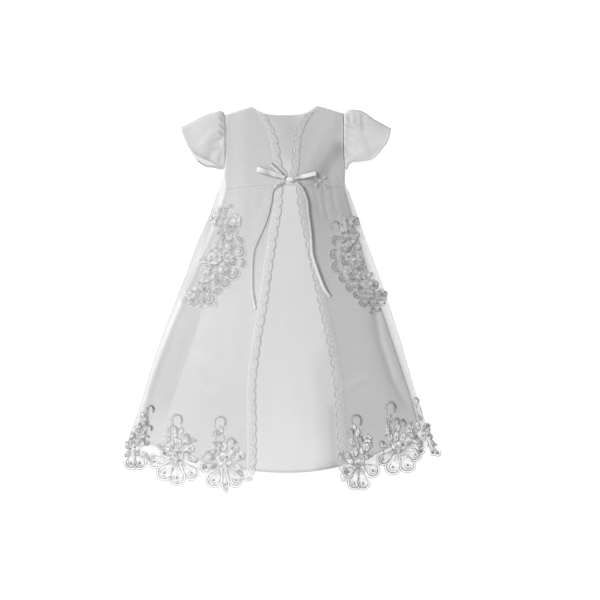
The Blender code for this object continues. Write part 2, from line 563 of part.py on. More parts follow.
def make_trims(gown):
    """Scalloped galloon down both front edges of the overlay, above and below the waist."""
    sides = (("left", FRONT_LEFT, "open_left", -1.0, OVERLAY_HEM_LEFT[-1]),
             ("right", FRONT_RIGHT, "open_right", 1.0, OVERLAY_HEM_RIGHT[-1]))
    for side, front, line, outward, end in sides:
        top, bottom = front[-1].y - 1.0, front[0].y + 2.0
        rows = round(4 * (top - bottom) / TRIM_PITCH)

        def bodice_place(u, t):
            y = top + (bottom - top) * t
            back = scallop_at((top - y), TRIM_PITCH, TRIM_DEPTH) if u == 0.0 else TRIM_WIDTH_BODICE
            return edge_line(front, y) + outward * back, y + TRIM_TOP_SLANT * u * (1.0 - t)

        plan = grid_of((0.0, 1.0), np.linspace(0.0, 1.0, rows + 1), bodice_place)
        gown.laid(f"trim_bodice_{side}", plan, LACE, "lace")

        length = (WAIST_Y - HEM_Y) * end
        rows = round(4 * length / TRIM_PITCH)

        def skirt_place(u, v):
            edge = skirt_line(line, v)
            back = scallop_at(v * (WAIST_Y - HEM_Y), TRIM_PITCH, TRIM_DEPTH) if u == 0.0 else TRIM_WIDTH
            x = edge + outward * back
            return x, skirt_y(edge, v) - SEAM / 2

        plan = grid_of((0.0, 1.0), np.linspace(0.0, end, rows + 1), skirt_place)
        gown.laid(f"trim_skirt_{side}", plan, LACE, "lace")


def motif_reach(motif, angle):
    """Distance from the flower to the motif's outline: the far side of the disc that reaches most."""
    reach = motif.core
    for disc in motif.discs:
        far = math.hypot(disc.x, disc.y)
        off = angle - math.atan2(disc.y, disc.x)
        half_chord = disc.radius**2 - (far * math.sin(off)) ** 2
        if math.cos(off) > 0.0 and half_chord > 0.0:
            reach = max(reach, far * math.cos(off) + math.sqrt(half_chord))
    return reach


def motif_rise(motif, x, y):
    """Height of the lace's cords and fillings: a dome on each disc and on the flower."""
    domes = [(disc.x, disc.y, disc.radius) for disc in motif.discs] + [(0.0, 0.0, motif.core)]
    return MOTIF_SWELL * max(max(0.0, 1.0 - ((x - dx) ** 2 + (y - dy) ** 2) / r**2) for dx, dy, r in domes)


def make_motif(gown, motif, base):
    """A lace motif: rings of points from its flower out to its lobed outline, raised on each lobe."""
    angles = np.linspace(0.0, math.tau, MOTIF_COLUMNS + 1)

    def place(angle, share):
        reach = motif_reach(motif, angle % math.tau) * share
        return motif.x + math.cos(angle) * reach, motif.y + math.sin(angle) * reach

    plan = grid_of(angles, MOTIF_RINGS, place)
    low = lay_over(plan, gown.trees)
    low[:, 0] = low[:, 0].max()
    low[-1] = low[0] = np.maximum(low[0], low[-1])
    rise = np.array([[motif_rise(motif, x - motif.x, y - motif.y) for x, y in column] for column in plan])
    rise[-1] = rise[0]
    gown.sheet(motif.name, plan, low, low + base + rise, "lace", closed=True)


def make_side_motifs(gown):
    """Crescents of lace at the skirt's sides, scalloped towards the front."""
    for side, rows in CRESCENTS.items():
        towards_side = -1.0 if side == "left" else 1.0
        keys = [-row.y for row in rows]
        ys = np.linspace(rows[0].y, rows[-1].y, 27)

        def place(u, y):
            outer = smooth_between(keys, [row.side for row in rows], -y)
            front = smooth_between(keys, [row.front for row in rows], -y)
            front += towards_side * scallop_at(rows[0].y - y, CRESCENT_SCALLOP, CRESCENT_DEPTH)
            return outer + (front - outer) * u, y

        plan = grid_of(np.linspace(0.0, 1.0, 6), ys, place)
        low = lay_over(plan, gown.trees)
        rise = np.array([[bump_height(side, x, y) for x, y in column] for column in plan])
        gown.sheet(f"side_lace_{side}", plan, low, low + LACE + rise, "lace")


def bump_height(side, x, y):
    return max(bump.height * max(0.0, 1.0 - ((x - bump.x) ** 2 + (y - bump.y) ** 2) / bump.radius**2)
               for bump in CRESCENT_BUMPS[side])


def make_bow(gown):
    """A small ribbon bow: knot, two loops, a short end and two long tails."""
    for side, points in (("left", TAIL_LEFT), ("right", TAIL_RIGHT)):

        def place(u, t):
            here = route(points, t)
            ahead = route(points, min(1.0, t + 0.01)) - route(points, max(0.0, t - 0.01))
            ahead /= np.linalg.norm(ahead)
            x, y = here + np.array([-ahead[1], ahead[0]]) * (u - 0.5) * TAIL_WIDTH
            return x, y

        plan = grid_of((0.0, 1.0), np.linspace(0.0, 1.0, TAIL_STEPS + 1), place)
        gown.laid(f"bow_tail_{side}", plan, RIBBON, "ribbon")

    knot = bmesh.new()
    bmesh.ops.create_uvsphere(knot, u_segments=12, v_segments=6, radius=0.5)
    for vert in knot.verts:
        rounded = [math.copysign(abs(c * 2) ** 0.8, c) / 2 for c in vert.co]
        vert.co = Vector([KNOT[0], KNOT[1], 0.0]) * MM + Vector(rounded) * Vector(KNOT_SIZE) * MM
    seat(knot, gown.trees, GAP)
    gown.trees.append(BVHTree.FromBMesh(knot))
    gown.add("bow_knot", knot, "ribbon")

    for loop in BOW_LOOPS:
        make_loop(gown, loop)

    def end_place(u, t):
        x, y = route(END_LEFT, t)
        return x + (u - 0.5) * END_WIDTH * 0.75, y + (u - 0.5) * END_WIDTH * 0.66

    plan = grid_of((0.0, 1.0), np.linspace(0.0, 1.0, 7), end_place)
    gown.laid("bow_end_left", plan, RIBBON, "ribbon")


def seat(shell, trees, clear):
    """Brings a shell down until its points and face centres just clear what lies below them."""
    points = [vert.co.copy() for vert in shell.verts] + [face.calc_center_median() for face in shell.faces]
    lift = max(top_at(trees, point.x / MM, point.y / MM) + clear - point.z / MM for point in points)
    for vert in shell.verts:
        vert.co.z += lift * MM


def make_loop(gown, loop):
    """A ribbon loop on its flat side: out from the knot over the top, round its tip and back."""
    start, tip = np.asarray(loop.start), np.asarray(loop.tip)
    length = np.linalg.norm(tip - start)
    along = (tip - start) / length
    across = np.array([-along[1], along[0]])
    last = math.cos(math.pi * LOOP_TURN)
    shell = bmesh.new()
    bmesh.ops.create_grid(shell, x_segments=4, y_segments=16, size=0.5)
    for vert in shell.verts:
        turn = math.tau * LOOP_TURN * vert.co.y
        reach = (math.cos(turn) - last) / (1.0 - last)
        swell = math.sin(turn) * (LOOP_NECK + (1.0 - LOOP_NECK) * reach**0.8)
        x, y = start + along * reach * length + across * vert.co.x * loop.width
        vert.co = Vector((x, y, swell * (LOOP_ARCH + RIBBON) / 2)) * MM
    seat(shell, gown.trees, GAP + RIBBON / 2)
    obj = gown.add(loop.name, shell, "ribbon")
    wall = obj.modifiers.new("wall", "SOLIDIFY")
    wall.thickness = RIBBON * MM
    wall.offset = 0.0
    gown.trees.append(evaluated_tree(obj))


def main():
    clear_scene()
    gown = Gown()
    make_backs(gown)
    make_dress_front(gown)
    make_sleeve(gown, "sleeve_left", SLEEVE_LEFT)
    make_sleeve(gown, "sleeve_right", SLEEVE_RIGHT)
    make_cuff_lace(gown)
    make_overlay_fronts(gown)
    make_trims(gown)
    for motif in HEM_MOTIFS:
        make_motif(gown, motif, LACE)
    make_side_motifs(gown)
    make_motif(gown, SPRIG, LACE)
    make_bow(gown)


main()
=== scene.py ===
import math

import bpy
import numpy as np
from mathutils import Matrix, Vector


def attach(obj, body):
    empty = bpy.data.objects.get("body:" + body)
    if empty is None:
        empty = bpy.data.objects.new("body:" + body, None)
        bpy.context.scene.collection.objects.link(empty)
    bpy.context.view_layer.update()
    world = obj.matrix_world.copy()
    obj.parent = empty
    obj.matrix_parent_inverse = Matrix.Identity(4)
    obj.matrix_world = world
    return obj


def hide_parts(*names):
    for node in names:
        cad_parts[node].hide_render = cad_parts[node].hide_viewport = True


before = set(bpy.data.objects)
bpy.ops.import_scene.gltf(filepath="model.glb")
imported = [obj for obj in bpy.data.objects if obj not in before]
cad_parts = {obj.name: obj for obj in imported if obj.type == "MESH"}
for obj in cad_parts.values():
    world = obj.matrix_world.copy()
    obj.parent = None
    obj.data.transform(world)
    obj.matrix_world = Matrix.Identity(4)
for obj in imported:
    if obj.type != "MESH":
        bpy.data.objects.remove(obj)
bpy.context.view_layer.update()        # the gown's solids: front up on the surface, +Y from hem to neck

mm = 0.001
print("christening gown: frame loaded,", len(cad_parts), "solids")

# The gown's plan in millimetres, as its solids have it.
cut = {
    "centreX": 13, "waistY": 200, "waistSideY": 194, "hemY": -303,
    "waistBow": -0.00065,                 # the waist seam drops to its sides
    "hemBow": (0.00085, 0.0014),          # the hem rises to its left and right
    "backTop": 2.2, "frontTop": 4.4,      # tops of the satin back, and of the front at its sides
    "crown": 3.4,                         # the front stands off the back
    "frontEdge": 5,                       # organza edge behind its lace edging
}
skirtLines = {                            # x of each line at these shares of the skirt's length
    "share": (0, 0.08, 0.16, 0.28, 0.42, 0.56, 0.7, 0.85, 1, 1.1),
    "overlayLeft": (-111.5, -124.6, -142.4, -163.7, -188.7, -211.5, -230, -246.7, -265.3, -275.2),
    "dressLeft": (-97.5, -110.1, -123.6, -147.9, -177.6, -203.5, -225, -242, -259.4, -269),
    "openLeft": (2.5, 0.2, -6.3, -15.6, -25.5, -37.3, -44.8, -43.9, -46.6, -60),
    "openRight": (23.5, 28.2, 36.2, 49.4, 64, 79.5, 90, 95.2, 99.6, 107),
    "dressRight": (110.9, 121.8, 133.5, 149.2, 171.4, 192, 210.6, 228.6, 242.2, 252),
    "overlayRight": (115.5, 130, 143.3, 164.3, 186, 205.1, 221.1, 236.8, 253.4, 263.7),
}
edges = {                                 # (y, x) down each bodice edge
    "dressLeft": ((190, -97.5), (210, -99), (229, -100), (260, -98.6), (322, -98.2)),
    "dressRight": ((190, 110.9), (210, 110.3), (227, 110.8), (260, 109.6), (325, 109)),
    "overlayLeft": ((190, -111.5), (208, -105), (221, -100.5), (229, -99), (260, -98), (322, -98)),
    "overlayRight": ((190, 116), (208, 109), (221, 105), (240, 102.6), (265, 102), (325, 102)),
    "frontLeft": ((199, 2.5), (206, 8), (213, 11.2), (227, 6), (241, -1), (258, -2.8), (276, -6.3),
                  (295, -13.3), (309, -20.3), (321, -27.3), (328, -32)),
    "frontRight": ((199, 23.5), (206, 17), (213, 13.5), (223, 14.7), (235, 16.5), (251, 17.3), (269, 18.2),
                   (286, 20.8), (302, 27), (314, 34), (328, 45)),
}
tops = {                                  # (x, y) along each upper edge
    "bodice": ((-98.2, 322), (-75, 330), (-52.7, 337), (-40, 329.5), (-27.3, 324.3), (-8, 322.6),
               (11, 322.3), (30.5, 323.4), (45, 327), (62, 338.6), (84, 332.5), (109, 324.5)),
    "overlayLeft": ((-98, 322.3), (-75, 330.2), (-52.7, 337), (-37, 328)),
    "overlayRight": ((50, 330.5), (62, 338.6), (82, 333), (102, 326.3)),
}


def shares(count):
    # even steps from 0 to 1
    return np.linspace(0.0, 1.0, count + 1)


def pair(x, y):
    return np.stack(np.broadcast_arrays(x, y), axis=-1)


def unit(vectors):
    return vectors / np.maximum(np.linalg.norm(vectors, axis=-1, keepdims=True), 1e-6)


def travelled(line):
    # the way along a line to each of its points
    return np.concatenate([[0.0], np.cumsum(np.linalg.norm(np.diff(line, axis=0), axis=1))])


def softLine(keys, values, at):
    # a soft line through the values, its slope at each taken from the neighbours
    keys, values, at = (np.asarray(each, float) for each in (keys, values, at))
    slopes = np.gradient(values, keys)
    k = np.clip(np.searchsorted(keys, at) - 1, 0, len(keys) - 2)
    step = keys[k + 1] - keys[k]
    t = np.clip((at - keys[k]) / step, 0.0, 1.0)
    start = (2 * t**3 - 3 * t**2 + 1) * values[k] + (t**3 - 2 * t**2 + t) * step * slopes[k]
    return start + (3 * t**2 - 2 * t**3) * values[k + 1] + (t**3 - t**2) * step * slopes[k + 1]


def softStep(low, high, value):
    t = np.clip((np.asarray(value, float) - low) / (high - low), 0.0, 1.0)
    return t * t * (3.0 - 2.0 * t)


def route(points, at):
    # points at these shares of a soft line through the given ones
    plan = np.array(points, float)
    keys = travelled(plan)
    return np.stack([softLine(keys / keys[-1], each, at) for each in plan.T], axis=-1)


def skirtLine(name, share):
    return softLine(skirtLines["share"], skirtLines[name], share)


def edgeLine(name, y):
    return softLine(*np.array(edges[name], float).T, y)


def skirtY(x, share):
    bow = cut["waistBow"] + (np.where(x < cut["centreX"], *cut["hemBow"]) - cut["waistBow"]) * share
    return cut["waistY"] + (cut["hemY"] - cut["waistY"]) * share + bow * (x - cut["centreX"]) ** 2


def bodicePlan(left, right, top, grid, leftShift=0.0, rightShift=0.0):
    # plan grid of a bodice panel: columns across, rows from its upper edge to the waist
    corners = np.array(tops[top], float)
    u, w = shares(grid[0])[:, None], shares(grid[1])
    topY = np.interp(corners[0, 0] + (corners[-1, 0] - corners[0, 0]) * u, *corners.T)
    y0, y1 = (corner[1] + (cut["waistSideY"] - corner[1]) * w for corner in (corners[0], corners[-1]))
    x0, x1 = edgeLine(left, y0) + leftShift, edgeLine(right, y1) + rightShift
    x = x0 + (x1 - x0) * u
    return pair(x, topY + (skirtY(x, 0.0) - topY) * w)


def skirtPlan(left, right, grid, hem=1.0, leftShift=0.0, rightShift=0.0):
    # plan grid of a skirt panel between two lines, down to its hem in skirt lengths
    share = shares(grid[1]) * hem
    x0, x1 = skirtLine(left, share) + leftShift, skirtLine(right, share) + rightShift
    x = x0 + (x1 - x0) * shares(grid[0])[:, None]
    return pair(x, skirtY(x, share))


# Heights of what lies on the surface already, a cell a millimetre: each new layer is laid over them.
pile = {"x0": -300, "y0": -360, "z": np.zeros((620, 720)), "step": 0.8,
        "clothReach": 1.6, "cordReach": 0.7}       # how near the heights are that each is laid over


def pileCell(x, y, margin):
    columns, rows = pile["z"].shape
    return np.clip(x - pile["x0"], 0, columns - margin), np.clip(y - pile["y0"], 0, rows - margin)


def addToPile(points):
    # records the heights of a grid of points, filled in to less than a millimetre apart
    for axis in (0, 1):
        points = np.moveaxis(points, axis, 0)
        longest = np.linalg.norm(np.diff(points[..., :2], axis=0), axis=-1).max()
        fine = max(1, math.ceil(longest / pile["step"]))
        at = np.linspace(0.0, len(points) - 1.0, (len(points) - 1) * fine + 1)
        k = np.minimum(at.astype(int), len(points) - 2)
        t = (at - k)[:, None, None]
        points = np.moveaxis(points[k] * (1 - t) + points[k + 1] * t, 0, axis)
    i, j = (np.rint(each).astype(int) for each in pileCell(points[..., 0], points[..., 1], 1))
    np.maximum.at(pile["z"], (i, j), points[..., 2])


def pileAt(x, y):
    fx, fy = pileCell(x, y, 2)
    i, j = fx.astype(int), fy.astype(int)
    fx, fy, z = fx - i, fy - j, pile["z"]
    low = z[i, j] * (1 - fx) + z[i + 1, j] * fx
    return low * (1 - fy) + (z[i, j + 1] * (1 - fx) + z[i + 1, j + 1] * fx) * fy


def pileNear(x, y, reach):
    turns = shares(8)[:-1] * math.tau
    around = [pileAt(x + reach * math.cos(turn), y + reach * math.sin(turn)) for turn in turns]
    return np.max([pileAt(x, y)] + around, axis=0)


def layOver(plan, lift, soften=10):
    # lays a plan grid over the pile, bridging steps softly, and returns its points
    ground = pileNear(plan[..., 0], plan[..., 1], pile["clothReach"]) + lift
    z = ground.copy()
    for _ in range(soften):
        wide = np.pad(z, 1, mode="edge")
        around = (wide[:-2, 1:-1] + wide[2:, 1:-1] + wide[1:-1, :-2] + wide[1:-1, 2:]) / 4
        z = np.maximum(ground, around)
    return np.dstack([plan, z])


def softWaves(x, y, size, seed):
    # slow uneven waves of about the given size, between -1 and 1
    total = 0.0
    for k in range(6):
        turn = seed * 1.7 + k * 2.399
        along = (x * math.cos(turn) + y * math.sin(turn)) / (size * (0.7 + 0.17 * k))
        total = total + np.sin(along * math.tau + seed * 3.1 + k * 1.9)
    return total / 6


def strokeShare(stroke, x, y):
    # how far a point is inside a soft stroke: 1 on its line, 0 well away from it
    nearest, beside = np.full(np.broadcast(x, y).shape, 1e9), 0.0
    line = np.array(stroke[2:len(stroke) // 2 * 2], float).reshape(-1, 2)
    for (ax, ay), (bx, by) in zip(line[:-1], line[1:]):
        length = (bx - ax) ** 2 + (by - ay) ** 2
        t = np.clip(((x - ax) * (bx - ax) + (y - ay) * (by - ay)) / length, 0.0, 1.0)
        far = np.hypot(x - ax - t * (bx - ax), y - ay - t * (by - ay))
        left = ((y - ay) * (bx - ax) - (x - ax) * (by - ay)) / math.sqrt(length)
        beside = np.where(far < nearest, left, beside)
        nearest = np.minimum(nearest, far)
    share = np.exp(-((nearest / stroke[0]) ** 2))
    return share * softStep(-1.5, 1.5, beside * stroke[-1]) if len(stroke) % 2 else share


def strokesAt(strokes, x, y):
    # Every stroke is its half width, its strength, and then x and y along its line. One more value at the
    # end stops it short at its line: 1 keeps the left of it as it goes, -1 the right.
    return sum(stroke[1] * strokeShare(stroke, x, y) for stroke in strokes)


# Lines that more than one of the tables of strokes below follow.
folds = {
    "left": (-132, 10, -143, -36, -166, -106, -185, -160), "bodice": (98, 264, 80, 238, 62, 208),
    "right": (160, 10, 172, -71, 195, -141, 214, -176), "lowRight": (100, -138, 120, -150, 147, -135),
    "highLeft": (-142, -92, -131, -104, -118, -101), "lowLeft": (-138, -150, -126, -160, -104, -158),
    "leftCuff": (-108, 230, -120, 239, -131, 245, -151, 254, -163, 267),
}
# Creases of the front, which each layer there follows; the strength is the ridge's height.
creases = (
    (5, -1, 160, -10, 172, -71, 195, -141, 214, -176), (6, 0.7, 174, -10, 184, -71, 205, -135),
    (5, 0.5, -132, 0, -143, -36, -166, -106, -180, -150), (9, -0.5, -139, -29, -158, -75, -176, -122),
    (6, -0.8, 103, -152, 118, -163, 150, -150), (7, 0.6, *folds["lowRight"]), (5, 0.6, *folds["highLeft"]),
    (4.5, -0.5, -146, -118, -133, -128, -122, -121), (5.5, 0.6, *folds["lowLeft"]),
    (5, -0.5, -128, -171, -112, -178, -95, -170), (8, 0.4, -88, -60, -80, -84, -82, -112),
    (12, -1, 103, 296, 84, 262, 62, 228), (9, 0.4, 80, 300, 62, 268, 48, 236),
    (4, -1, 72, 196, 74, 172, 82, 140), (4, -0.8, 87, 196, 90, 178, 96, 156),
    (4.5, -0.7, 57, 196, 62, 178, 66, 150), (8, -0.4, -60, 190, -52, 160, -50, 120),
    (6, -0.4, -30, 192, -34, 170, -44, 140), (7, -0.5, -80, 318, -66, 306, -58, 290),
    (16, -0.5, 30, -120, 44, -190, 52, -285), (18, -0.3, -20, -150, -12, -220, -10, -295),
)


def addObject(name, data):
    obj = bpy.data.objects.new(name, data)
    bpy.context.scene.collection.objects.link(obj)
    return obj


def makeMesh(name, points, faces, uvs, looksUsed, slots):
    # an object from points in millimetres, faces, a uv for each point and a look for each face
    mesh = bpy.data.meshes.new(name)
    mesh.from_pydata((np.asarray(points) * mm).tolist(), [], faces)
    corner = np.zeros(len(mesh.loops), int)
    mesh.loops.foreach_get("vertex_index", corner)
    mesh.uv_layers.new(name="cloth").data.foreach_set("uv", np.array(uvs)[corner].ravel())
    for look in looksUsed:
        mesh.materials.append(finish[look])
    mesh.polygons.foreach_set("material_index", np.array(slots, np.int32))
    mesh.polygons.foreach_set("use_smooth", np.ones(len(mesh.polygons), bool))
    mesh.update()
    return addObject(name, mesh)


def gridFaces(columns, rows, closed=False, ring=False):
    # faces of a grid of points; closed joins its last column to its first, ring its last row
    index = np.arange(columns * rows).reshape(columns, rows)
    index = np.pad(index, ((0, int(closed)), (0, int(ring))), mode="wrap")
    near, far = index[:-1], index[1:]
    return np.stack([near[:, :-1], near[:, 1:], far[:, 1:], far[:, :-1]], axis=-1).reshape(-1, 4)


def toneCloth(obj, tone):
    # writes the tone at each point, painted shade and highlight included, from a function of x and y or as
    # given
    points = np.zeros(len(obj.data.vertices) * 3)
    obj.data.vertices.foreach_get("co", points)
    points = points.reshape(-1, 3) / mm
    tone = tone(points[:, 0], points[:, 1]) if callable(tone) else tone
    tone = np.clip(tone * np.ones(len(points)), 0.0, 2.1).astype(np.float32)
    obj.data.attributes.new("tone", "FLOAT", "POINT").data.foreach_set("value", tone)


def wear(obj, node, slot):
    # the piece takes its place on the gown, and stands for its solid where one is named
    if node:
        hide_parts(node)
    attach(obj, "root")
    return obj


endings = {"satin": "_cloth", "organza": "_cloth", "net": "_net", "trimNet": "_net", "ribbon": "_ribbon"}


def layPiece(node, points, look, tone, closed=False, thick=0.0, piled=True):
    # a node's sheet of cloth from a grid of points, front up; its uv is its own plan in millimetres
    grid = points[:-1] if closed else points
    columns, rows = grid.shape[:2]
    across, along = (np.linalg.norm(np.diff(grid, axis=axis), axis=-1).mean() for axis in (0, 1))
    uvs = pair(across * np.arange(columns)[:, None], along * np.arange(rows)).reshape(-1, 2)
    faces = gridFaces(columns, rows, closed).tolist()
    obj = makeMesh(node + endings[look], grid.reshape(-1, 3), faces, uvs, [look], [0] * len(faces))
    if thick:
        wall = obj.modifiers.new("thickness", "SOLIDIFY")
        wall.thickness = thick * mm
        wall.offset = -1.0
    wear(obj, node, slots[look])
    toneCloth(obj, tone)
    if piled:
        addToPile(points)


# Finishes. Each look is its slot, its grey in linear light and the blue in it, how much that varies and over
# how many millimetres, the pitch of its two threads and their relief, its roughness, and the shader's values.
looks = {
    "satin": ("satin", 0.70, 0.705, 0.018, 60, (0.42, 1.9), 0.03, (0.36, 0.44),
              {"Specular IOR Level": 0.45, "Anisotropic": 0.3, "Sheen Weight": 0.12, "Sheen Roughness": 0.4}),
    "organza": ("organza", 0.76, 0.765, 0.02, 45, (0.55, 0.55), 0.04, (0.48, 0.58),
                {"Alpha": 0.36, "Specular IOR Level": 0.4, "Sheen Weight": 0.2, "Sheen Roughness": 0.5}),
    "organzaHem": ("organza", 0.72, 0.73, 0.03, 8, (0.5, 0.8), 0.05, (0.5, 0.6),
                   {"Alpha": 0.62, "Sheen Weight": 0.2}),
    "net": ("lace", 0.86, 0.865, 0.02, 6, (1.1, 1.1), 0.06, (0.6, 0.7), {"Alpha": 0.17, "Sheen Weight": 0.1}),
    "trimNet": ("lace", 0.80, 0.805, 0.03, 5, (1.0, 1.0), 0.07, (0.6, 0.7),
                {"Alpha": 0.4, "Sheen Weight": 0.1}),
    "petalNet": ("lace", 0.76, 0.765, 0.02, 3, (0.9, 0.9), 0.08, (0.6, 0.7),
                 {"Alpha": 0.52, "Sheen Weight": 0.1}),
    # the cords are greyer than the white lace they are made of: a painted shade for their small shadows
    "trimCord": ("lace", 0.60, 0.605, 0.08, 3, (0.9, 0.9), 0.10, (0.45, 0.6),
                 {"Specular IOR Level": 0.5, "Sheen Weight": 0.15}),
    "cord": ("lace", 0.46, 0.47, 0.10, 3, (0.9, 0.9), 0.10, (0.45, 0.6),
             {"Specular IOR Level": 0.5, "Sheen Weight": 0.15}),
    "fill": ("lace", 0.88, 0.885, 0.03, 4, (0.7, 0.9), 0.10, (0.5, 0.65), {"Sheen Weight": 0.15}),
    "drop": ("lace", 0.42, 0.43, 0.10, 2, (0.6, 0.6), 0.10, (0.5, 0.65), {"Sheen Weight": 0.1}),
    "ribbon": ("ribbon", 0.86, 0.865, 0.02, 12, (0.4, 1.4), 0.04, (0.24, 0.32),
               {"Specular IOR Level": 0.55, "Anisotropic": 0.4, "Sheen Weight": 0.1}),
    "thread": ("satin", 0.66, 0.67, 0.06, 2, (0.3, 0.3), 0.03, (0.5, 0.6), {"Sheen Weight": 0.1}),
}
slots = {name: look[0] for name, look in looks.items()}


def setInputs(node, values):
    for socket, value in values.items():
        node.inputs[socket].default_value = value


def makeFinish(name):
    _, grey, blue, mottle, size, threads, relief, roughness, values = looks[name]
    material = bpy.data.materials.new(name)
    material.use_nodes = True
    nodes, link = material.node_tree.nodes, material.node_tree.links.new
    shader = nodes["Principled BSDF"]
    setInputs(shader, values)
    place, uv, cloud, ramp, tone, mix, gloss, weave, bump = (nodes.new("ShaderNode" + kind) for kind in (
        "TexCoord", "UVMap", "TexNoise", "ValToRGB", "Attribute", "Mix", "MapRange", "Math", "Bump"))
    uv.uv_map = "cloth"

    setInputs(cloud, {"Scale": 1000.0 / size, "Detail": 3.0})        # slow unevenness of the cloth
    link(place.outputs["Object"], cloud.inputs["Vector"])
    for element, side in zip(ramp.color_ramp.elements, (-1.0, 1.0)):
        element.position = 0.5 + 0.3 * side
        element.color = (*(min(1.0, c * (1.0 + side * mottle)) for c in (grey, grey, blue)), 1.0)
    link(cloud.outputs["Fac"], ramp.inputs["Fac"])
    # the tone attribute multiplies the colour: the cloth's own tones with the painted shade and highlight
    tone.attribute_name = "tone"
    mix.data_type, mix.blend_type = "RGBA", "MULTIPLY"
    setInputs(mix, {"Factor": 1.0})
    link(ramp.outputs["Color"], mix.inputs["A"])
    link(tone.outputs["Color"], mix.inputs["B"])
    link(mix.outputs["Result"], shader.inputs["Base Color"])
    setInputs(gloss, {"To Min": roughness[0], "To Max": roughness[1]})
    link(cloud.outputs["Fac"], gloss.inputs["Value"])
    link(gloss.outputs["Result"], shader.inputs["Roughness"])

    for side, direction in enumerate(("X", "Y")):                    # warp and weft threads
        wave = nodes.new("ShaderNodeTexWave")
        wave.bands_direction = direction
        setInputs(wave, {"Scale": 0.314 / threads[side], "Distortion": 0.4, "Detail": 1.0})
        link(uv.outputs["UV"], wave.inputs["Vector"])
        link(wave.outputs["Fac"], weave.inputs[side])
    setInputs(bump, {"Distance": relief * mm, "Strength": 0.6})
    link(weave.outputs["Value"], bump.inputs["Height"])
    link(bump.outputs["Normal"], shader.inputs["Normal"])
    return material


finish = {name: makeFinish(name) for name in looks}
print("finishes made:", len(finish))


# Painted shade on the satin: strokes darken it along its folds and where they turn it from the light, and
# those with a strength below nought paint light instead; the strength is how much of the tone goes.
satinPaintedShade = {
    "bodice": (
        (24, 0.14, -12, 330, 10, 300, 14, 262), (14, 0.05, 20, 328, 14, 290),
        (10, 0.05, 44, 316, 30, 286, 26, 250), (13, 0.28, *folds["bodice"]), (9, 0.1, 108, 262, 100, 214),
        (9, 0.08, 72, 204, 74, 196), (8, 0.08, -98, 226, -98, 196),
    ),
    "skirt": (
        (20, 0.06, 66, -130, 72, -200, 78, -290), (12, 0.1, 82, -60, 90, -160, 94, -292),
        (8, 0.12, 88, -190, 94, -292), (8, 0.12, 66, -294, 98, -288), (13, 0.05, 66, -100, 80, -290),
        (20, -0.1, 150, -266, 205, -246), (42, 0.1, *folds["left"], -1),
        (6.5, 0.16, -97.5, 200, -123.6, 120, -177.6, -11, -225, -152, -259.4, -303),
        (12, 0.03, -140, 30, -172, -40, -210, -140), (9, 0.08, -98, 200, -106, 176),
        (22, 0.12, *folds["right"], -1), (5, 0.14, 72, 196, 74, 172), (5, 0.12, 87, 196, 90, 178),
        (12, -0.06, 160, 10, 172, -71, 195, -141, 206, -176, 1),
    ),
}
# Painted shade down the gown (y, left, centre, right): the right side is painted darker, as if turned from
# the light, and the left and the centre darker at the top than at the hem.
paintedShadeRows = (
    (340, 0.93, 0.9, 0.89), (275, 0.937, 0.9, 0.89), (245, 0.95, 0.94, 0.89), (220, 0.966, 0.955, 0.88),
    (190, 0.99, 0.96, 0.77), (150, 1, 0.96, 0.725), (100, 1.03, 0.96, 0.79), (40, 1.08, 0.965, 0.83),
    (-25, 1.106, 0.97, 0.84), (-115, 1.09, 1, 0.85), (-170, 1.07, 1.015, 0.85), (-210, 1.08, 1.033, 0.85),
    (-270, 1.09, 1.08, 0.85), (-340, 1.09, 1.09, 0.85),
)
shadeStart, shadeFull = 8.0, 15.0                   # a side's painted shade starts and is full so far past its edge


def skirtShare(x, y):
    # the share of the skirt's length at a point
    length = cut["waistY"] - cut["hemY"]
    share = (cut["waistY"] - y) / length
    for _ in range(3):
        share = share + (skirtY(x, share) - y) / length
    return share


def paintedShadeColumn(y, column):
    rows = np.array(paintedShadeRows[::-1], float)
    return np.interp(y, rows[:, 0], rows[:, column])


def satinTone(part, x, y):
    # the painted shade rows, from the left column to the centre's and the right one's across the two front
    # edges, under the satin's painted shade strokes
    if part == "bodice":
        lines = (edgeLine("front" + side, np.clip(y, 199, 328)) for side in ("Left", "Right"))
    else:
        lines = (skirtLine("open" + side, np.clip(skirtShare(x, y), 0.0, 1.1)) for side in ("Left", "Right"))
    left = softStep(-shadeFull, -shadeStart, x - next(lines))
    right = softStep(shadeStart, shadeFull, x - next(lines))
    tone = paintedShadeColumn(y, 1) * (1.0 - left) + paintedShadeColumn(y, 2) * (left - right) + paintedShadeColumn(y, 3) * right
    return tone * (1.0 - strokesAt(satinPaintedShade[part], x, y))


def roundedEdge(distance, reach):
    # rises from an edge like the roll of a turned seam
    return np.sqrt(1.0 - (1.0 - np.clip(distance / reach, 0.0, 1.0)) ** 2)


# The back, which lies flat under the rest: organza first, then satin.
back = {
    "bodiceGrid": (60, 36), "skirtGrid": (70, 90), "wave": 0.18,
    "layers": (("overlay", "organza", 0.35, 0.985, 0.0), ("dress", "satin", 2.0, 1.0, 0.6)),
}                                                  # name, look, height, hem in skirt lengths, and thickness
for layer, look, level, hem, thick in back["layers"]:
    lines = layer + "Left", layer + "Right"
    plans = {"bodice": bodicePlan(*lines, "bodice", back["bodiceGrid"]),
             "skirt": skirtPlan(*lines, back["skirtGrid"], hem)}
    for part, plan in plans.items():
        z = level + back["wave"] * softWaves(plan[..., 0], plan[..., 1], 110.0, 4)
        layPiece(layer + "_back_" + part, np.dstack([plan, z]), look, 1.0, thick=thick)
print("back panels laid")


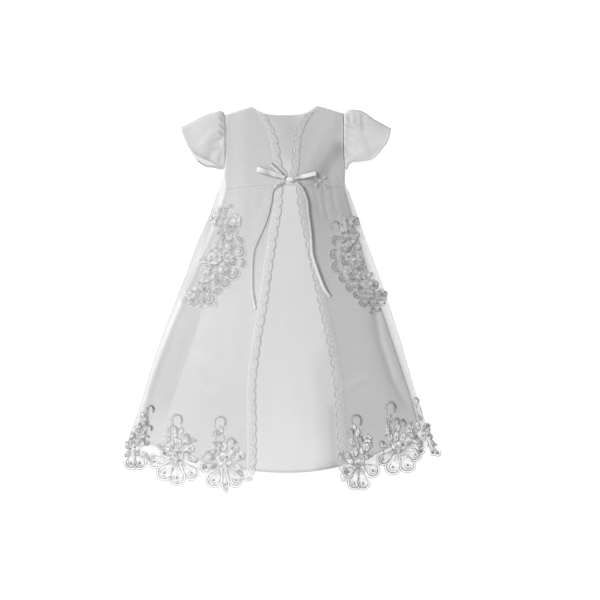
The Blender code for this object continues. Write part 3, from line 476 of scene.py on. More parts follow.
# The satin front: crowned over the back, falling away to the right, gathered under the waist seam.
front = {
    "skirtGrid": (150, 170), "bodiceGrid": (90, 56), "thick": 0.7, "low": 0.9,
    "riseTo": 0.2, "fallFrom": 0.58, "fallTo": 0.86, "edgeFrom": 0.9, "shelf": 0.45,
    "sideRoll": 7.0, "hemRoll": 4.0, "seamDip": 0.25, "seamWidth": 1.6,
    "gathers": 15, "gatherRise": 0.24, "gatherReach": 30.0, "gatherPeak": 0.72, "gatherSpread": 0.13,
    "gatherFloor": 0.35, "wave": 0.22,
}


def crownAt(across):
    right = 1.0 - (1.0 - front["shelf"]) * softStep(front["fallFrom"], front["fallTo"], across)
    right = right - front["shelf"] * softStep(front["edgeFrom"], 1.0, across)
    return softStep(0.0, front["riseTo"], across) * right


def gathersAt(across, below):
    beside = np.exp(-(((across - front["gatherPeak"]) / front["gatherSpread"]) ** 2))
    beside = front["gatherFloor"] + (1.0 - front["gatherFloor"]) * beside
    turn = across * math.tau * front["gathers"] + 1.1 + 0.8 * np.sin(across * 21.0)
    return front["gatherRise"] * beside * np.exp(-below / front["gatherReach"]) * (1.0 + np.cos(turn)) * 0.5


def satinFront(part, plan):
    x, y = plan[..., 0], plan[..., 1]
    across = shares(len(plan) - 1)[:, None]
    fromTop, fromFoot = y[:, :1] - y, y - y[:, -1:]
    fromWaist, fromHem = (fromTop, fromFoot) if part == "skirt" else (fromFoot, fromTop)
    high = cut["frontTop"] + cut["crown"] * crownAt(across) + strokesAt(creases, x, y)
    high = high + front["wave"] * (softWaves(x, y, 95.0, 1) + 0.3 * softWaves(x, y, 34.0, 2))
    if part == "skirt":
        high = high + gathersAt(across, fromWaist)
    low = cut["backTop"] + front["low"]
    roll = roundedEdge(np.minimum(across, 1.0 - across) * (x[-1] - x[0]), front["sideRoll"])
    z = low + (high - low) * np.maximum(roll * roundedEdge(fromHem, front["hemRoll"]), 0.05)
    z = z - front["seamDip"] * np.exp(-((fromWaist / front["seamWidth"]) ** 2))
    points = np.dstack([plan, z])
    layPiece("dress_front_" + part, points, "satin", lambda x, y: satinTone(part, x, y), thick=front["thick"])
    return points


bodiceFront = satinFront("bodice", bodicePlan("dressLeft", "dressRight", "bodice", front["bodiceGrid"]))
skirtFront = satinFront("skirt", skirtPlan("dressLeft", "dressRight", front["skirtGrid"]))
print("satin front laid")


# Cap sleeves pressed flat: rings of cloth from the armhole seam to the cuff, gathered at the head.
# tone and tones are painted shade and light: the sleeve toned down, its head, crinkles and cuff line
# darkened, its rims lightened
sleeves = {
    "left": {
        "tone": 0.89,
        "seam": ((-101.2, 228.5), (-99.4, 260), (-98.9, 290), (-98.9, 321.5)),
        "fold": ((-98.9, 321.5), (-104, 328.6), (-116, 326.8), (-176.9, 300)),
        "frontHem": ((-108, 230), (-120, 239), (-131, 245), (-151, 254), (-163, 267.6), (-176.9, 300)),
        "backHem": ((-106, 226), (-115, 230), (-131, 231.5), (-148, 242), (-162, 265), (-176.9, 300)),
        "tones": (
            (5, 0.24, -104, 322, -104, 290), (5, 0.1, -100, 330, -110, 328),
            (3, -0.16, -105, 278, -106, 268), (3, 0.1, -103, 262, -112, 244),
            (8, 0.08, -112, 236, -150, 256), (2.5, 0.1, -108, 272, -116, 262),
            (8, 0.07, -116, 280, -128, 262, -132, 250), (12, -0.03, -150, 300, -130, 290),
            (3, -0.08, -101, 252, -104, 238), (3, -0.05, -122, 300, -140, 276),
            (2.5, -0.08, -118, 252, -124, 244), (1.5, 0.16, -110, 317, -102, 313),
            (1.5, 0.16, -109, 305, -101, 299), (1.6, 0.18, -110, 293, -103, 287),
            (1.6, 0.14, -111, 282, -103, 278), (1.5, -0.12, -108, 310, -103, 306),
            (1.5, -0.12, -108, 299, -102, 294), (5, 0.07, -121, 262, -127, 250),
            (15, -0.34, *folds["leftCuff"], 1), (2, 0.28, *folds["leftCuff"], -1),
        ),
        "folds": (
            (6, 0.5, -100, 300, -118, 292, -140, 268), (5, -0.6, -101, 284, -116, 272, -126, 252),
            (4, 0.6, -102, 262, -110, 256, -114, 240), (7, 0.3, -103, 318, -124, 308, -150, 290),
        ),
    },
    "right": {
        "tone": 0.92,
        "seam": ((111.6, 227), (110.2, 260), (109.7, 292), (109.6, 324.3)),
        "fold": ((109.6, 324.3), (117, 330.2), (137, 330), (163, 314), (191.5, 298.4)),
        "frontHem": ((115, 229), (119.5, 237.5), (138, 241), (158, 245), (175, 262), (186, 278),
                     (191.5, 298.4)),
        "backHem": ((115, 230), (120.5, 239.5), (138, 243.5), (156, 248), (172, 264), (184, 280),
                    (191.5, 298.4)),
        "tones": (
            (3.5, 0.08, 112, 300, 113, 250), (5, 0.04, 140, 318, 142, 290, 150, 262),
            (12, -0.07, 140, 284, 152, 252), (9, -0.06, 160, 296, 170, 276), (8, -0.04, 120, 300, 122, 262),
            (2.5, 0.16, 115, 322, 117, 306), (2, -0.12, 121, 325, 123, 308), (2.2, 0.12, 127, 326, 129, 306),
            (2, -0.1, 133, 324, 135, 310), (2, 0.1, 138, 322, 138, 306),
            (2, 0.1, 114, 303, 128, 300, 136, 304), (6, 0.05, 166, 312, 190, 300),
            (5, 0.03, 150, 250, 176, 268), (2.5, 0.1, 139, 323, 140, 298),
            (8, -0.06, 116, 246, 150, 264, 184, 284), (1.5, 0.1, 113, 318, 121, 311),
            (1.5, 0.1, 122, 306, 131, 313), (1.5, 0.1, 112, 304, 122, 299), (1.5, 0.08, 126, 300, 134, 303),
            (9, 0.04, 150, 306, 176, 300), (2.5, -0.2, 140, 329, 163, 314, 191, 298),
            (2.5, -0.25, 191, 298, 186, 278, 175, 262, 158, 245),
        ),
        "folds": (
            (4.5, 0.6, 112, 316, 126, 312, 136, 302), (4, -0.5, 111, 302, 124, 300, 132, 308),
            (6, 0.5, 112, 284, 130, 276, 150, 256), (6, -0.5, 141, 322, 143, 292, 156, 262),
            (4.5, -0.4, 112, 262, 122, 254, 134, 246),
        ),
    },
}
sleeveCloth = {"around": 72, "along": 30, "height": 3.4, "puff": 2.4, "gathers": 7, "gatherRise": 0.9,
               "edgeRoll": 5.0, "floor": 0.5, "thick": 0.5}


def sleevePoints(shape, f, l, onBack):
    # f runs up the armhole, l out to the cuff
    hem = np.where(onBack[:, None], *(route(shape[name], f) for name in ("backHem", "frontHem")))[:, None]
    t = l[None, :, None]
    (seamFoot, seamTop), foldEnd = (np.array(shape["seam"][k]) for k in (0, -1)), np.array(shape["fold"][-1])
    straight = seamTop * (1 - t) + foldEnd * t
    plan = route(shape["seam"], f)[:, None] * (1 - t) + hem * t
    plan = plan + (f**2)[:, None, None] * (route(shape["fold"], l)[None] - straight)
    f, l = f[:, None], l[None, :]
    puff = sleeveCloth["puff"] * np.sin(math.pi * f) ** 0.6 * (1.0 - softStep(0.5, 1.0, l))
    ridge = sleeveCloth["gatherRise"] * np.cos(f * math.tau * sleeveCloth["gathers"] + 2.0 * np.sin(f * 9.0))
    ridge = ridge * np.sin(math.pi * f) * (1.0 - softStep(0.04, 0.5, l)) * softStep(0.0, 0.06, l)
    width = np.linalg.norm(seamTop - seamFoot)
    rim = roundedEdge(np.minimum(f, 1.0 - f) * width, sleeveCloth["edgeRoll"])
    middle = sleeveCloth["height"] / 2
    top = middle + (middle + puff + ridge + strokesAt(shape["folds"], plan[..., 0], plan[..., 1])) * rim
    low = middle + (sleeveCloth["floor"] - middle) * rim
    return np.dstack([plan, np.where(onBack[:, None], low, top)])


half = sleeveCloth["around"] // 2
for side, shape in sleeves.items():
    k = np.arange(2 * half + 1)
    f, onBack = np.minimum(k, 2 * half - k) / half, (k > 0) & (k < half)
    l = shares(sleeveCloth["along"])
    points = sleevePoints(shape, f, l, onBack)
    layPiece("sleeve_" + side, points[::-1 if side == "left" else 1], "satin",       # so the cloth faces out
             lambda x, y: shape["tone"] * (1.0 - strokesAt(shape["tones"], x, y)), closed=True,
             thick=sleeveCloth["thick"], piled=False)
    addToPile(sleevePoints(shape, f[half:], l, onBack[half:]))
print("sleeves laid")


# Cords, raised fillings and beads of lace are gathered into one mesh for each piece.
def newWork(tones=(1.0,), flat=1.0, rise=1.0, deep=0.5, size=1.0):
    # a tone for each of its looks, how flat its cords lie and how high its fillings rise, how deep its
    # painted shades are, and its cords' size
    tones = (tones * 5)[:5]
    return {"points": [], "uvs": [], "faces": [], "slots": [], "shades": [], "tones": tones, "flat": flat,
            "rise": rise, "deep": deep, "size": size}


def addFaces(work, points, uvs, faces, slot, shade, caps):
    # the faces and the caps that close them are numbered from the first of their own points
    start = len(work["points"])
    work["points"] += points.tolist()
    work["uvs"] += uvs.tolist()
    work["shades"] += (np.ones(len(points)) * shade * work["tones"][slot]).tolist()
    work["faces"] += (faces + start).tolist() + [(cap + start).tolist() for cap in caps]
    work["slots"] += [slot] * (len(faces) + len(caps))


def restOn(line, closed, lift):
    # heights along a line that rests on the pile, bridging what it can't follow
    ground = pileNear(line[:, 0], line[:, 1], pile["cordReach"]) + lift
    z = ground.copy()
    for _ in range(4):
        before, after = np.roll(z, 1), np.roll(z, -1)
        if not closed:
            before[0], after[-1] = z[0], z[-1]
        z = np.maximum(ground, (before + after) / 2)
    return z


def addCord(work, line, radius, closed=False, sides=5, taper=0.35, z=None, shade=1.0):
    # a round cord along plan points; open ones thin out to their ends
    count = len(line)
    radius = np.ones(count) * radius * work["size"]
    if z is None:
        z = restOn(line, closed, radius * 0.8 * work["flat"])
    if closed:
        ahead, size, caps = np.roll(line, -1, axis=0) - np.roll(line, 1, axis=0), radius, ()
    else:
        ahead = np.gradient(line, axis=0)
        ends = np.minimum(np.arange(count), np.arange(count)[::-1])
        size = radius * np.minimum(1.0, taper + (1.0 - taper) * ends / 2.0)
        caps = np.arange(sides)[::-1], np.arange(sides) + (count - 1) * sides
    ahead = unit(ahead)
    turn = np.arange(sides) * math.tau / sides
    out = size[:, None] * np.cos(turn)
    points = np.stack([line[:, :1] - ahead[:, 1:] * out, line[:, 1:] + ahead[:, :1] * out,
                       z[:, None] + size[:, None] * np.sin(turn) * work["flat"]], axis=-1)
    uvs = pair(travelled(line)[:, None], turn * radius.max())
    shades = np.repeat(np.ones(count) * shade, sides)
    faces = gridFaces(count, sides, closed, ring=True)
    addFaces(work, points.reshape(-1, 3), uvs.reshape(-1, 2), faces, 0, shades, caps)


def addPad(work, outline, rise, slot, shade=1.0):
    # a raised filling inside a closed outline, domed to its middle
    count, middle = len(outline), outline.mean(axis=0)
    rings = np.array([1.0, 0.93, 0.75, 0.45, 0.15])
    plan = middle + (outline[:, None] - middle) * rings[None, :, None]
    z = pileAt(plan[..., 0], plan[..., 1]) + 0.1 * work["flat"]
    points = np.dstack([plan, z + rise * work["rise"] * np.sqrt(1.0 - rings**2)])
    ahead = np.roll(outline, -1, axis=0)
    way = -1 if (ahead[:, 0] * outline[:, 1] - outline[:, 0] * ahead[:, 1]).sum() < 0 else 1    # faces up
    faces = gridFaces(count, len(rings), closed=True)[:, ::way]
    cap = np.arange(count)[::-way] * len(rings) + len(rings) - 1
    addFaces(work, points.reshape(-1, 3), plan.reshape(-1, 2), faces, slot, shade, (cap,))
    addToPile(np.concatenate([points, points[:1]]))


def arc(x, y, radius, turn):
    return pair(x + radius * np.cos(turn), y + radius * np.sin(turn))


def ringOf(x, y, radius, count):
    return arc(x, y, radius, np.arange(count) * math.tau / count)


def addBead(work, x, y, radius, slot=0, rise=0.8, shade=1.0):
    addPad(work, ringOf(x, y, radius, 8), radius * rise, slot, shade)


def workPiece(name, work, looksUsed, slot, tone=None):
    # the gathered work as one piece
    obj = makeMesh(name, work["points"], work["faces"], work["uvs"], looksUsed, work["slots"])
    shades = np.array(work["shades"])
    toneCloth(obj, (lambda x, y: shades * tone(x, y)) if tone else shades)
    wear(obj, None, slot)


# Scalloped edging inside the back cuff of the left sleeve.
cuffLace = {"line": ((-113, 232.6), (-122, 236), (-131, 236.5), (-139, 240.5), (-147.5, 247)),
            "width": 3.6, "scallops": 9, "depth": 1.0, "lift": 0.3, "tone": 1.2,
            "cords": ((1.0, 0.45, 0.9), (0.55, 0.36, 0.7))}          # share of its width, radius and shade
t = shares(72)
line = route(cuffLace["line"], t)
hang = cuffLace["width"] + cuffLace["depth"] * (np.abs(np.sin(math.pi * t * cuffLace["scallops"])) - 0.6)
plan = np.stack([line - np.outer(hang, (0.0, k)) for k in shares(5)], axis=1)[::-1]
layPiece("cuff_lace_left", layOver(plan, cuffLace["lift"]), "trimNet", cuffLace["tone"])
work = newWork()
for share, radius, shade in cuffLace["cords"]:
    addCord(work, line - np.outer(hang, (0.0, share)), radius, shade=shade)
for x, y in route(cuffLace["line"], (np.arange(cuffLace["scallops"]) + 0.5) / cuffLace["scallops"]):
    addBead(work, x, y - cuffLace["width"] * 0.75, 0.7, slot=1)
workPiece("cuff_lace_left_cords", work, ("cord", "fill"), "lace")


# The two sheer fronts: over the satin, down past its sides on to the sheer back, and down past its hem.
overlay = {
    "bodiceGrid": (46, 60), "skirtGrid": (92, 190), "lift": 0.55, "billow": 0.45, "soften": 16,
    "hem": {"left": (1.075, 1.07, 1.03, 1.04, 1.036),     # in skirt lengths, from the side to the front edge
            "right": (1.09, 1.085, 1.05, 1.05, 1.055)},
    "tone": {"left": 0.97, "right": 1.02}, "hemCord": 0.35,
}
# Painted shade on the organza: strokes darken its folds, falling left edge and right bodice; those below
# nought paint light
sheerPaintedShade = {
    "left": (
        (42, 0.12, *folds["left"], -1), (9, 0.17, -121, 150, -150, 88, -190, 0, -230, -110, -268, -280),
        (2.4, -0.06, -98, 196.5, -60, 198.5, -22, 201),
        (5, 0.45, -112, 160, -125, 130, -139, 76, -160, 34, -172, 0), (5, -0.04, *folds["highLeft"]),
        (5, -0.04, *folds["lowLeft"]),
    ),
    "right": (
        (12, 0.08, *folds["right"], -1), (6, -0.06, *folds["lowRight"]), (13, 0.31, *folds["bodice"]),
        (9, 0.12, 76, 222, 90, 204),
    ),
}


def sheerTone(side):
    # the organza's gain, times the painted shade rows and strokes
    column, gain = 1 if side == "left" else 3, overlay["tone"][side]
    return lambda x, y: gain * paintedShadeColumn(y, column) * (1.0 - strokesAt(sheerPaintedShade[side], x, y))


sheer = {}
for part, inner in (("bodice", "front"), ("skirt", "open")):
    for side, way in (("left", 1), ("right", -1)):
        lines = ("overlay" + side.title(), inner + side.title())[::way]
        shifts = (0.0, -way * cut["frontEdge"])[::way]
        if part == "bodice":
            plan = bodicePlan(*lines, "overlay" + side.title(), overlay["bodiceGrid"], *shifts)
        else:
            hem = np.interp(shares(overlay["skirtGrid"][0]), shares(4), overlay["hem"][side])[::way, None]
            plan = skirtPlan(*lines, overlay["skirtGrid"], hem, *shifts)
        billow = overlay["billow"] * (1.0 + softWaves(plan[..., 0], plan[..., 1], 60.0, 3)) / 2
        points = sheer[part + side.title()] = layOver(plan, overlay["lift"] + billow, overlay["soften"])
        layPiece("overlay_front_" + part + "_" + side, points, "organza", sheerTone(side))
print("sheer fronts laid")

# Rolled hems down the sides and along the lower edge of the sheer skirt.
for side, edge in (("left", 0), ("right", -1)):
    points = sheer["skirt" + side.title()]
    work = newWork()
    for rim in (points[edge], points[:, -1]):
        addCord(work, rim[:, :2], overlay["hemCord"], z=rim[:, 2] + 0.1)
    workPiece("rolled_hem_skirt" + side.title(), work, ("organzaHem",), "organza", sheerTone(side))
print("rolled hems sewn")


# Scalloped lace down both front edges of the sheer layer, above and below the waist.
trim = {
    "pitch": 19.0, "depth": 3.6, "width": {"skirt": 16.0, "bodice": 14.0}, "topSlant": 3.0, "step": 1.25,
    "bodiceTop": 327, "bodiceLength": 126, "flat": 0.6, "uneven": 0.25, "lattice": 3.4, "latticeCord": 0.3,
    "rims": ((0.3, 0.36, 5), (1.7, 0.24, 4)),      # cords round the scallops: how far in, radius and sides
    # painted shade: rimShades darken the left scallop cords as a shadow line; tone and net make the right
    # side darker
    "rimShades": {"left": (0.62, 0.95), "right": (1.0, 0.93)}, "bound": (0.5, 0.32, 0.82),
    "tone": {"left": 1.28, "right": 1.14}, "net": {"left": 1.36, "right": 1.1},
    "onBodice": {"left": 0.9, "right": 1.0},       # how the tones go there
    "rowPaintedShade": (0.86, 0.92, 0.97, 1.0, 1.02, 0.99, 0.87),           # painted shade across, from the scalloped edge: darker along the scallops and at the outer rim
    "picots": (0.16, 0.33, 0.5, 0.67, 0.84), "picot": 0.42, "eyes": (0.25, 0.75), "flowers": (1.0, 1.3),
    "foot": ((3, 1, 1.6), (7, 2, 1.8), (11, 0, 1.6), (5, 5, 1.5), (10, 5, 1.5), (14, 4, 1.3)),
    "footCord": 0.55, "footBead": 0.7,
}                                                  # foot: knots at the lower end, across, up and radius


def scallopAt(distance):
    # how far the edge stands back from its outermost line
    return trim["depth"] * (1.0 - np.abs(np.sin(math.pi * distance / trim["pitch"])) ** 0.7)


def makeTrim(part, side, place, length):
    # place(across, along) gives plan points; across runs from the scalloped edge, both in millimetres
    node, width, pitch = "trim_" + part + "_" + side, trim["width"][part], trim["pitch"]
    paler = trim["onBodice"][side] if part == "bodice" else 1.0
    along = np.arange(0.0, length, trim["step"])
    scallop = scallopAt(along)
    plan = np.stack([place(scallop + (width - scallop) * share, along) for share in shares(6)])
    way = -1 if plan[0, 0, 0] > plan[-1, 0, 0] else 1
    rowPaintedShade = np.array(trim["rowPaintedShade"])[::-1 if side == "left" else 1] * trim["net"][side] * paler
    layPiece(node, layOver(plan[::way], 0.2, 6), "trimNet", np.repeat(rowPaintedShade, len(along)))

    work = newWork(flat=trim["flat"])
    # how much of the edge cords' painted shade holds: none at the shoulder, most at the waist, less at the
    # hem
    fade = 0.6 * (along / length) ** 2 if part == "bodice" else 1.0 - 0.55 * along / length
    for (inside, radius, corners), shade in zip(trim["rims"], trim["rimShades"][side]):
        addCord(work, place(scallop + inside, along), radius, sides=corners, shade=1.0 + (shade - 1.0) * fade)
    middle = width * 0.6
    swing = trim["lattice"] * np.sin(along * math.tau / pitch)
    for line in (middle + swing, middle - swing):
        addCord(work, place(line, along), trim["latticeCord"], sides=4)
    if node == "trim_bodice_right":                # its other edge is bound
        inside, radius, shade = trim["bound"]
        addCord(work, place(width - inside, along), radius, sides=4, shade=shade)
    for start in np.arange(int(length / pitch)) * pitch:
        for share in trim["picots"]:               # round the scallop
            x, y = place(scallopAt(share * pitch) - 0.6, start + share * pitch)
            addBead(work, x, y, trim["picot"])
        beads = [(share, middle, trim["flowers"][0]) for share in trim["eyes"]]    # in the lattice's eyes
        for share, across, radius in beads + [(0.5, trim["depth"] + 2.0, trim["flowers"][1])]:
            x, y = place(across, start + share * pitch)
            addBead(work, x, y, radius, slot=1, rise=0.5)
    for across, up, radius in trim["foot"] if part == "skirt" else ():
        x, y = place(across, length - up)
        addCord(work, ringOf(x, y, radius, 9), trim["footCord"], closed=True)
        addBead(work, x, y, trim["footBead"], slot=1)
    tone = trim["tone"][side] * paler
    workPiece(node + "_cords", work, ("trimCord", "petalNet"), "lace",
              lambda x, y: tone * (1.0 + trim["uneven"] * softWaves(x, y, 7.0, 6)))


skirtLength = cut["waistY"] - cut["hemY"]
for side, outward in (("left", -1.0), ("right", 1.0)):
    def skirtPlace(across, along):
        share = along / skirtLength
        edge = skirtLine("open" + side.title(), share)
        return pair(edge + outward * across, skirtY(edge, share))

    def bodicePlace(across, along):
        y = trim["bodiceTop"] - along
        down = np.clip(along / trim["bodiceLength"], 0.0, 1.0)
        slant = trim["topSlant"] * across / trim["width"]["bodice"] * (1.0 - down)
        return pair(edgeLine("front" + side.title(), y) + outward * across, y + slant)

    makeTrim("skirt", side, skirtPlace, skirtLength * overlay["hem"][side][-1])
    makeTrim("bodice", side, bodicePlace, trim["bodiceLength"])
print("front edgings sewn")


